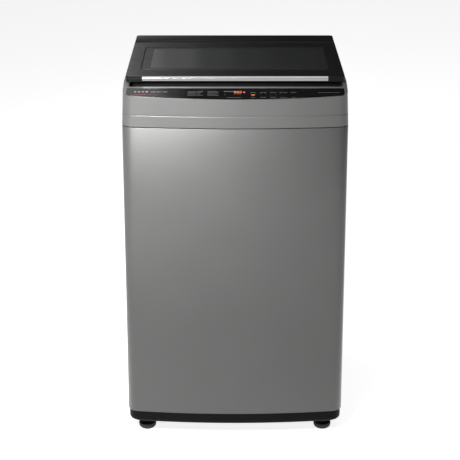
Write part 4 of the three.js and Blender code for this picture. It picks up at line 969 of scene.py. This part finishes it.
# ---- Lid ----
def lid_shell():
    """Frame with a window, a round rear edge and notches for the hinge ears."""
    mesh = bmesh.new()
    side, front = LID_HIGH[0], LID_LOW[1]
    low, high = LID_LOW[2], LID_HIGH[2]
    notch_x, notch_y = REAR_HIGH[0] - 8.6, REAR_LOW[1] - 0.6
    trim, rear = TRIM_HIGH[0] + 0.3, HINGE_Y + 0.05
    right = [(trim, front + 3), (trim, front), (side, front), (side, notch_y), (notch_x, notch_y),
             (notch_x, rear)]
    left = [(-x, y) for x, y in reversed(right)]
    corners = left[3:] + right + left[:3]
    rounds = [9, 0, 0, 0, 0, 9] + [0] * 6
    split = GLASS_LOW[2] - 0.4
    x0, y0, x1, y1 = WINDOW
    hole = box_outline(mesh, x0 - 0.3, y0 - 0.3, x1 + 0.3, y1 + 0.3, 10, split)
    plate(mesh, [outline(mesh, corners, rounds, split), hole], high - split)
    under = [(x - math.copysign(0.5, x), y) for x, y in corners]
    hole = box_outline(mesh, x0 + 14, y0 + 16, x1 - 14, y1 - 24, 12, low)
    plate(mesh, [outline(mesh, under, rounds, low), hole], split - low + 0.1)
    roll = hinge_arc((low + high) / 2, LID_HIGH[1] - HINGE_Y, -1, 12)
    sideways(mesh, roll, -notch_x, notch_x)
    finish_piece("lid_shell", mesh, LID_BLACK, "lid", ["lid_frame", "lid_liner"], 0.8, 3)


def window_gasket():
    """The strip that holds the glass."""
    mesh = bmesh.new()
    x0, y0, x1, y1 = WINDOW
    z = GLASS_HIGH[2] - 1.2
    outer = box_outline(mesh, x0 - 0.25, y0 - 0.25, x1 + 0.25, y1 + 0.25, 9.9, z)
    inner = box_outline(mesh, x0 + 2, y0 + 3, x1 - 2, y1 - 3, 8, z)
    plate(mesh, [outer, inner], 0.8)
    finish_piece("window_gasket", mesh, BLACK, "lid")


def lid_window():
    """The tinted pane."""
    mesh = bmesh.new()
    x0, y0, x1, y1 = WINDOW
    rim = box_outline(mesh, x0 + 2.05, y0 + 3.05, x1 - 2.05, y1 - 3.05, 8, GLASS_LOW[2])
    plate(mesh, [rim], GLASS_HIGH[2] - GLASS_LOW[2])
    finish_piece("lid_window", mesh, SMOKED, "lid", ["lid_glass"], edge=0.5)


def lid_trim():
    """The bright strip along the lid's front, with a steep chamfer above."""
    mesh = bmesh.new()
    back, front = TRIM_HIGH[1], TRIM_LOW[1]
    low, high = TRIM_LOW[2], TRIM_HIGH[2]
    profile = [(back, low), (front + 0.9, low), (front, low + 0.9), (front, low + 7.8),
               (front + 2.3, high - 0.4), (front + 2.8, high), (back, high)]
    sideways(mesh, profile, TRIM_LOW[0], TRIM_HIGH[0])
    finish_piece("lid_trim", mesh, CHROME, "lid", ["lid_handle"], edge=0.25)


def rear_trim():
    """The strip behind the lid, with an ear at each end for the hinge."""
    mesh = bmesh.new()
    side = REAR_HIGH[0]
    y0, y1 = REAR_LOW[1] + 15.6, REAR_HIGH[1]
    low, high = REAR_LOW[2], REAR_HIGH[2]
    rim = outline(mesh, [(-side, y0), (side, y0), (side, y1), (-side, y1)], [0, 0, 9, 9], low)
    plate(mesh, [rim], high - low)
    brow = [
        e for e in mesh.edges
        if all(abs(v.co.y - y0) < 0.01 and v.co.z > high - 0.1 for v in e.verts)
    ]
    bevel(mesh, brow, 6, 6)
    arc = hinge_arc((low + high) / 2, (high - low) / 2 - 0.2, 1, 8)
    ear = [(y0 + 1, high - 1.3), *arc, (y0 + 1, low + 0.2)]
    sideways(mesh, ear, 0.2 - side, 8 - side)
    sideways(mesh, ear, side - 8, side - 0.2)
    finish_piece("rear_trim", mesh, LID_BLACK, "cabinet", ["rear_cover"], 0.9, 3)


# ---- Under the lid ----
def deck_moulding():
    """The plate round the loading opening, with the trough behind the panel."""
    mesh = bmesh.new()
    front, side, top = DECK_LOW[1], DECK_HIGH[0], DECK_HIGH[2]
    low, wall, back = top - 23, 3, front + 34
    rim = box_outline(mesh, -side, back - wall, side, DECK_HIGH[1], 2, top - wall)
    plate(mesh, [rim, box_outline(mesh, *MOUTH, MOUTH_ROUND, top - wall)], wall)
    slab(mesh, -side, front, low, side, back, low + wall)
    slab(mesh, -side, back - wall, low, side, back, top)
    slab(mesh, -side, front, low, side, front + wall, top - 8)
    for x in (-side, side - wall):
        slab(mesh, x, front, low, x + wall, back, top)
    finish_piece("deck_moulding", mesh, BLACK, "cabinet", ["deck"], edge=0.6)


def deck_funnel():
    """The throat between the deck and the tub, with a rolled rim and a slot for the drawer."""
    mesh = bmesh.new()
    top = DECK_HIGH[2]
    edges = box_outline(mesh, *MOUTH, MOUTH_ROUND, top + 0.05)
    middle = Vector(((MOUTH[0] + MOUTH[2]) / 2, (MOUTH[1] + MOUTH[3]) / 2, 0))
    low, high = span("detergent_drawer")
    before = 1.0
    for size, z in ((1.006, top - 1.2), (0.994, top - 4), (0.992, high[2] + 0.8),
                    (0.99, low[2] - 0.8), (0.985, DECK_LOW[2])):
        verts, edges = extended(mesh, edges)
        scaled(mesh, verts, size / before, size / before, middle)
        for v in verts:
            v.co.z = z
        before = size
    for x in (low[0] - 0.8, high[0] + 0.8):
        cut(mesh, 0, x)
    remove_faces(mesh, lambda c: abs(c.x) < high[0] and c.y > 100 and low[2] < c.z < high[2])
    finish_piece("deck_funnel", mesh, BLACK, "cabinet", wall=-2.2, smooth=40)


def drawer():
    """The detergent drawer: two open compartments behind a front with a grip."""
    mesh = bmesh.new()
    (x0, y0, z0), (x1, y1, z1) = span("detergent_drawer")
    slab(mesh, x0, y0, z0, x1, y0 + 7, z1, 1.2, 3)
    slab(mesh, x0 + 0.5, y0 + 5, z0, x1 - 0.5, y1, z0 + 2)
    for x in (x0 + 0.3, -1, x1 - 2.3):
        slab(mesh, x, y0 + 5, z0 + 1, x + 2, y1, z1 - 1)
    slab(mesh, x0 + 0.3, y1 - 2, z0 + 1, x1 - 0.3, y1, z1 - 1)
    slab(mesh, -24, y0 - 0.2, z1 - 9, 24, y0 + 3, z1 - 7, 0.8)
    finish_piece("drawer_tray", mesh, GREY, "detergent_drawer", ["detergent_drawer"], edge=0.4)


# ---- Tub, basket and pulsator ----
def tub():
    """Ribbed tub with a lug for each rod, and the ring that closes its top."""
    low, high = span("outer_tub")
    r, floor, bore, boss, boss_low = TUB_RADIUS, TUB_FLOOR, 28, 42, 225.5
    mesh = bmesh.new()
    profile = [(bore, floor), (r - 12, floor), (r, floor + 12), (r, high[2]), (r - 4, high[2]),
               (r - 4, floor + 16), (r - 14, floor + 5), (bore, floor + 5)]
    turned(mesh, rounded_profile(profile, 4, closed=True), 96)
    for band in range(5):
        z = floor + 70 + band * 85
        turned(mesh, [(r - 1, z - 4), (r + 2.4, z - 3), (r + 2.4, z + 3), (r - 1, z + 4)], 96)
    slabs_round(mesh, (46, -1.5, low[2] + 4, r - 14, 1.5, floor + 1), 12, 0.26)
    turned(mesh, [(bore, boss_low), (boss, boss_low), (boss, floor + 1), (bore, floor + 1),
                  (bore, boss_low)], 48)
    lug_low, lug_thick = 330, 13.6
    for corner in CORNERS:
        x, y, _ = centre("suspension_rod_" + corner)
        reach = math.hypot(x, y)
        half = [(r - 3, 18), (reach + 4, 14), (reach + 13, 6)]
        arm = [(a, -b) for a, b in half] + half[::-1]
        loops = [
            outline(mesh, arm, [0] * 6, lug_low),
            ring_outline(mesh, reach, 0, 7.2, lug_low, 24),
        ]
        under = {v for loop in loops for v in ends_of(loop)}
        verts = list(under | set(plate(mesh, loops, lug_thick)))
        turn = Matrix.Rotation(math.atan2(y, x), 3, "Z")
        bmesh.ops.rotate(mesh, verts=verts, cent=(0, 0, 0), matrix=turn)
    finish_piece("tub_shell", mesh, GREY, "tub", ["outer_tub"], smooth=30)

    inner = r - 44
    profile = [(r + 0.4, -14), (r + 3, -14), (r + 3, 8), (r - 26, 14), (inner, 14), (inner, 10),
               (r - 26, 10), (r - 4, 0.4), (r + 0.4, 0.4)]
    profile = rounded_profile(profile, 1.6, closed=True)
    turned_piece("splash_ring", profile, 96, WHITE, "tub", "tub_ring", (0, 0, high[2]), smooth=30)


def basket():
    """Drum with upright waves pressed into its wall, and the balance ring on its rim."""
    low, high = span("basket")
    r, bottom, top = high[0], low[2], high[2]
    levels, bend, waves, depth = 40, 17, 24, 1.6
    mesh = bmesh.new()
    profile = [(30, bottom), (r - 20, bottom), (r - 9, bottom + 3), (r - 2.5, bottom + 9)]
    profile += [(r - 0.2, bottom + bend + (top - bottom - bend) * i / levels)
                for i in range(levels + 1)]
    turned(mesh, profile, 144)
    for v in mesh.verts:
        radius = math.hypot(v.co.x, v.co.y)
        fade = min(1.0, (v.co.z - bottom - 30) / 30, (top - 20 - v.co.z) / 30)
        if radius > r - 1 and fade > 0:
            around = math.atan2(v.co.y, v.co.x)
            press = depth * (0.5 + 0.5 * math.cos(waves * around)) * fade
            v.co.x *= (radius - press) / radius
            v.co.y *= (radius - press) / radius
    finish_piece("basket_drum", mesh, DRUM, "basket", ["basket"], wall=0.7, smooth=40)

    low, high = span("balance_ring")
    outer, inner = 217, 181
    z0, z1 = low[2], high[2]
    profile = [(inner, z0 + 12), (inner + 5, z0), (outer - 4, z0), (outer, z0 + 4),
               (outer, z1 - 10), (outer - 6, z1 - 2), (outer - 14, z1), (outer - 15, z1 - 2),
               (outer - 19, z1 - 2), (outer - 20, z1), (inner + 8, z1), (inner, z1 - 9)]
    profile = rounded_profile(profile, 2.2, closed=True)
    turned_piece("balance_hoop", profile, 112, GREY, "basket", "balance_ring", smooth=30)


def agitator():
    """The pulsator: a dished disc with four swept fins and small wash ribs."""
    low, high = span("pulsator")
    r, z0, rings, swell = 165, low[2], 30, 15
    profile = [(20, z0 + 0.2), (21, z0), (22, z0 + 4), (r - 7, z0 + 4), (r, z0 + 8), (r, z0 + 11.5)]
    for i in range(1, rings + 1):
        radius = r - 1 - (r - 13) * i / rings
        profile.append((radius, z0 + 12.5 + swell * (1 - radius / r) ** 1.2))
    mesh = bmesh.new()
    turned(mesh, profile, 192)
    for v in mesh.verts:
        radius = math.hypot(v.co.x, v.co.y)
        if v.co.z < z0 + 11 or radius > r - 2:
            continue
        share = radius / r
        around = math.atan2(v.co.y, v.co.x) - share * 0.7
        fin = math.cos(2 * around) ** 36
        rib = max(0.0, math.cos(8 * around)) ** 10 * 0.12 if share > 0.45 else 0
        fade = max(0.0, min(1, share / 0.25, (1 - share) / 0.1))
        v.co.z += (swell * fin * (1 - 0.45 * share) + swell * rib) * fade
        v.co.z = min(v.co.z, high[2] - 0.3)
    finish_piece("pulsator_disc", mesh, GREY, "pulsator", ["pulsator"], smooth=55)

    z = span("pulsator_screw")[1][2]
    cap = [(12, z - 6.4), (12, z - 2.5), (8, z), (5.4, z), (5, z - 2.4), (0, z - 2.4)]
    cap = rounded_profile(cap, 1.2)
    turned_piece("pulsator_cap", cap, 40, STAINLESS, "pulsator", "pulsator_screw")


def filter_cassette():
    """The lint filter: a rounded case with a slatted front, hollowed to the basket's curve."""
    mesh = bmesh.new()
    (x0, y0, z0), (x1, y1, z1) = span("lint_filter")
    slats = 11
    slab(mesh, x0 + 6, y0, z0, x1 - 1, y1, z1, 4, 4)
    slab(mesh, x0 + 1, y0 + 7, z0 + 12, x0 + 8, y1 - 7, z1 - 12, 2.5, 3)
    for i in range(slats):
        z = z0 + 24 + i * (z1 - z0 - 48) / (slats - 1)
        slab(mesh, x0 - 0.2, y0 + 13, z - 2, x0 + 2, y1 - 13, z + 2, 0.8)
    for v in mesh.verts:
        if v.co.x > x0 + 7:
            v.co.x -= 4.4 * (v.co.y / y1) ** 2
    finish_piece("filter_cassette", mesh, WHITE, "lint_filter", ["lint_filter"], smooth=40)


# ---- Back, water and drive ----
def bend_between(piece):
    """Bakes a piece's placing into its mesh; the piece rides no body."""
    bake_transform(piece)


def coil_springs():
    """A coil of wire for each spring, on its rod's head."""
    wire, gap, turns, steps = 1.55, 0.1, 5, 18
    for corner in CORNERS:
        node = "spring_" + corner
        low, high = span(node)
        x, y, _ = centre(node)
        coil = (high[0] - low[0]) / 2 - wire - gap
        bottom, top = low[2] + wire + gap, high[2] - wire - gap
        mesh = bmesh.new()
        ring = bmesh.ops.create_circle(mesh, segments=8, radius=wire)["verts"]
        upright = Matrix.Rotation(math.pi / 2, 3, "X")
        bmesh.ops.rotate(mesh, verts=ring, cent=(0, 0, 0), matrix=upright)
        bmesh.ops.translate(mesh, vec=(x + coil, y, bottom), verts=ring)
        bmesh.ops.spin(
            mesh,
            geom=mesh.verts[:] + mesh.edges[:],
            cent=(x, y, 0),
            axis=(0, 0, 1),
            dvec=(0, 0, (top - bottom) / (turns * steps)),
            angle=2 * math.pi * turns,
            steps=turns * steps,
            use_merge=False,
            use_duplicate=False,
        )
        bmesh.ops.holes_fill(mesh, edges=[e for e in mesh.edges if e.is_boundary], sides=0)
        bend_between(finish_piece("coil_" + corner, mesh, STEEL, None, [node]))


def bellows_hose():
    """The folded hose from the tub to the pump, with a clip at each end."""
    low, high = span("sump_hose")
    x, y, _ = centre("sump_hose")
    outer = (high[0] - low[0]) / 2
    cuff, inner, folds = outer - 4, outer - 7, 7
    start, end = low[2] + 16, high[2] - 16
    pitch = (end - start) / folds
    profile = [(inner, low[2]), (cuff, low[2]), (cuff, start)]
    for i in range(folds):
        z = start + (end - start) * i / folds
        profile += [(outer - 0.3, z + pitch * share) for share in (0.35, 0.6)]
        profile.append((cuff, z + pitch * 0.95))
    profile += [(cuff, high[2]), (inner, high[2])]
    mesh = bmesh.new()
    turned(mesh, rounded_profile(profile, 1.8, closed=True), 40, (x, y, 0))
    for z in (low[2] + 7, high[2] - 9):
        clip = [(cuff - 0.2, z), (cuff + 1.2, z), (cuff + 1.2, z + 4), (cuff - 0.2, z + 4)]
        turned(mesh, clip, 40, (x, y, 0))
    piece = finish_piece("bellows_hose", mesh, RUBBER, None, ["sump_hose"])
    bend_between(piece)


def fittings():
    """What passes through the back: water inlet, drain outlet and mains gland."""
    low, high = span("inlet_valve")
    x, y, z = INLET_X, high[1], (low[2] + high[2]) / 2
    bore, outer, pitch = 9.2, 13.2, 1.8
    thread = [(bore, 0), (outer - 1.6, 0), (outer - 1.4, -1)]
    for i in range(8):
        thread += [(outer - 0.1, -1.6 - i * pitch), (outer - 1.3, -2.5 - i * pitch)]
    thread += [(outer - 0.4, -17), (outer - 0.4, -31), (0, -31)]
    mesh = bmesh.new()
    turned(mesh, thread, 40, (x, y, z), TO_BACK)
    turned(mesh, [(bore, 0), (bore, -8), (3, -8), (3, -12), (0, -12)], 32, (x, y, z), TO_BACK)
    slab(mesh, x - 20, y - 63, z - 15, x + 20, y - 28, z + 15, 2.5, 3)
    slab(mesh, low[0], y - 53, z - 6, x - 19, y - 42, z + 6, 1.5)
    finish_piece("water_inlet", mesh, WHITE, "cabinet", ["inlet_valve"])

    stub = [(11, 0), (13.2, 0), (14, -1.5), (14, -3), (12.8, -3.4), (12.8, -6), (14, -6.6),
            (14, -9), (12.8, -9.4), (12.8, -26.5), (18.6, -27), (18.6, -30.6), (11, -30.8), (11, 0)]
    gland = [(4, 0), (7, 0), (9, -1), (13, -1.4), (13, -3.9), (9, -4), (8.9, -17), (4, -17)]
    gland = rounded_profile(gland, 0.8, closed=True)
    for name, profile, steps, finish, node in (
        ("drain_stub", stub, 48, GREY, "drain_outlet"),
        ("lead_gland", gland, 40, RUBBER, "cord_gland"),
    ):
        x, _, z = centre(node)
        place = (x, span(node)[1][1], z)
        turned_piece(name, profile, steps, finish, "cabinet", node, place, TO_BACK)


def drive():
    """Belt pulleys, gearcase and motor, as castings turned from their own foot."""
    foot = span("drive_pulley")[0][2]

    def pulley(name, node, profile, steps, y=0):
        turned_piece(name, profile, steps, ALLOY, node, node, (0, y, foot), edge=0.5)

    r, top = span("drive_pulley")[1][0], span("drive_pulley")[1][2] - foot
    rim, hub = r - 12, 16
    profile = [(0, 0), (hub, 0), (hub, 6), (rim, 6), (rim, 0), (r, 0), (r, 2.6), (r - 2, 3),
               (r - 5, 4), (r - 5, 12), (r - 2, 13), (r, 13.4), (r, 16), (rim, 16), (rim, 10),
               (hub, 10), (hub, 20), (8, 20), (8, top), (0, top)]
    pulley("large_pulley", "drive_pulley", profile, 72)

    # Both grooves lie at the belt's height, so both pulleys start at the same foot.
    r, top = span("motor_pulley")[1][0], span("motor_pulley")[1][2] - foot
    profile = [(0, 0), (r, 0), (r, 2.6), (r - 5, 4), (r - 5, 12), (r, 13.4), (r, 16), (6, 16),
               (6, top), (0, top)]
    pulley("small_pulley", "motor_pulley", profile, 56, centre("motor_pulley")[1])

    low, high = span("gearcase")
    r, top = 44, high[2] - low[2]
    profile = [(9, 0), (r - 8, 0), (r, 12), (r, 40), (r + 2, 41), (r + 2, 46), (r, 47),
               (r, top - 12), (r + 14, top - 8), (r + 14, top), (13, top), (13, 21), (9, 21),
               (9, 0)]
    turned_piece("gear_housing", profile, 64, ALLOY, "tub", "gearcase", (0, 0, low[2]), edge=0.6)

    low, high = span("motor")
    r, top = high[0], high[2] - low[2]
    place = (0, centre("motor")[1], low[2])
    profile = [(6.3, 24), (6.3, 0), (26, 0), (26, 6), (r - 3, 6), (r, 9), (r, 26), (r - 4, 28),
               (r - 4, top - 34), (r, top - 32), (r, top - 14), (r - 14, top - 6), (r - 14, top),
               (0, top)]
    mesh = bmesh.new()
    turned(mesh, profile, 64, place)
    slabs_round(mesh, (r - 6, -1.2, 27, r - 0.5, 1.2, top - 33), 16, place=place)
    finish_piece("motor_case", mesh, ALLOY, "tub", ["motor"], edge=0.4)


def carried_over():
    """Solids whose shape is already right get their finishes."""
    for finish, nodes in (
        (BOARD, ["control_board"]),
        (GREY, ["dispenser_housing"]),
        (BLACK, ["lid_switch"]),
        (WHITE, ["drain_pump"]),
        (RUBBER, ["tub_seal", "drive_belt"]),
        (ZINC, ["drive_bracket"]),
        (ALLOY, ["basket_hub"]),
        (STEEL, ["hinge_pin_left", "hinge_pin_right", "spin_shaft", "wash_shaft"]),
        (STEEL, ["suspension_rod_" + corner for corner in CORNERS]),
    ):
        for node in nodes:
            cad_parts[node].material_slots[0].material = finish.material


# ---- Studio ----
LID_STRIPS = ((-0.57, 0.3, 1.2), (-0.35, 0.14, 0.34), (-0.21, 0.14, 0.18), (-0.07, 0.14, 0.06),
              (0.07, 0.14, 0.02))


def camera():
    data = bpy.data.cameras.new("camera")
    data.lens = 118.4
    data.sensor_width = 36
    eye = linked("camera", data)
    eye.location = (-0.0124, -3.7344, 1.7443)
    eye.rotation_euler = (math.radians(90 - 18.97), 0, 0)
    bpy.context.scene.camera = eye


def soft_light(name, place, target, width, height, power, spread=180):
    """A rectangle of light at a place, aimed at a target, in metres and watts."""
    data = bpy.data.lights.new(name, "AREA")
    data.shape = "RECTANGLE"
    data.size = width
    data.size_y = height
    data.energy = power
    data.spread = math.radians(spread)
    lamp = linked(name, data)
    lamp.location = place
    lamp.rotation_euler = (Vector(target) - Vector(place)).to_track_quat("-Z", "Y").to_euler()


def ground():
    """A pale floor that glows, so that it meets the white behind it without an edge."""
    mesh = bmesh.new()
    bmesh.ops.create_grid(mesh, x_segments=1, y_segments=1, size=30)
    data = bpy.data.meshes.new("floor")
    mesh.to_mesh(data)
    mesh.free()
    floor = linked("floor", data)
    pale = Finish("pale_floor", "", (0.6, 0.6, 0.6), 0.9)
    pale.tones(pale.noise(3, 2), 1.02, 0.98)
    pale.set("Emission Color", (1, 1, 1, 1))
    pale.set("Emission Strength", 0.86)
    data.materials.append(pale.material)


def backdrop():
    """White where it is seen, and nearly dark where it would light or be mirrored."""
    lit, seen = 0.03, 1.0
    world = bpy.data.worlds.new("studio")
    bpy.context.scene.world = world
    world.use_nodes = True
    tree = world.node_tree
    shader = tree.nodes["Background"]
    shader.inputs["Color"].default_value = (1, 1, 1, 1)
    ray = tree.nodes.new("ShaderNodeLightPath").outputs["Is Camera Ray"]
    strength = tree.nodes.new("ShaderNodeMapRange")
    strength.inputs["To Min"].default_value = lit
    strength.inputs["To Max"].default_value = seen
    tree.links.new(ray, strength.inputs["Value"])
    tree.links.new(strength.outputs["Result"], shader.inputs["Strength"])


def lights():
    soft_light("key", (-0.6, -1.6, 1.7), (-0.32, -0.28, 0.86), 0.6, 0.6, 15, spread=52)
    # Strips behind the lid, brightest at the left, which its polished top mirrors.
    height = 0.8
    for x, width, radiance in LID_STRIPS:
        power = radiance * width * height * math.pi
        soft_light(f"lid_strip_{x}", (x, 2.0, 1.4), (x, 0, 0.93), width, height, power)
    soft_light("panel_card", (-0.72, 0.9, 2.3), (-0.2, -0.2, 0.9), 1.0, 0.8, 3)
    soft_light("top", (0.2, -0.6, 4.2), (0, 0, 0), 4.0, 4.0, 60)


for make in (
    camera, cabinet_sheet, rod_gussets, rear_flanges, back_panel, rear_screws, base_skirt,
    base_deck, feet, top_moulding, seam_shade_strip, panel_insert, keys, panel_marks, lid_shell,
    window_gasket, lid_window, lid_trim, rear_trim, deck_moulding, deck_funnel, drawer, tub,
    basket, agitator, filter_cassette, coil_springs, bellows_hose, fittings, drive,
    carried_over, ground, backdrop, lights,
):
    make()
bpy.context.scene.view_settings.view_transform = "Standard"
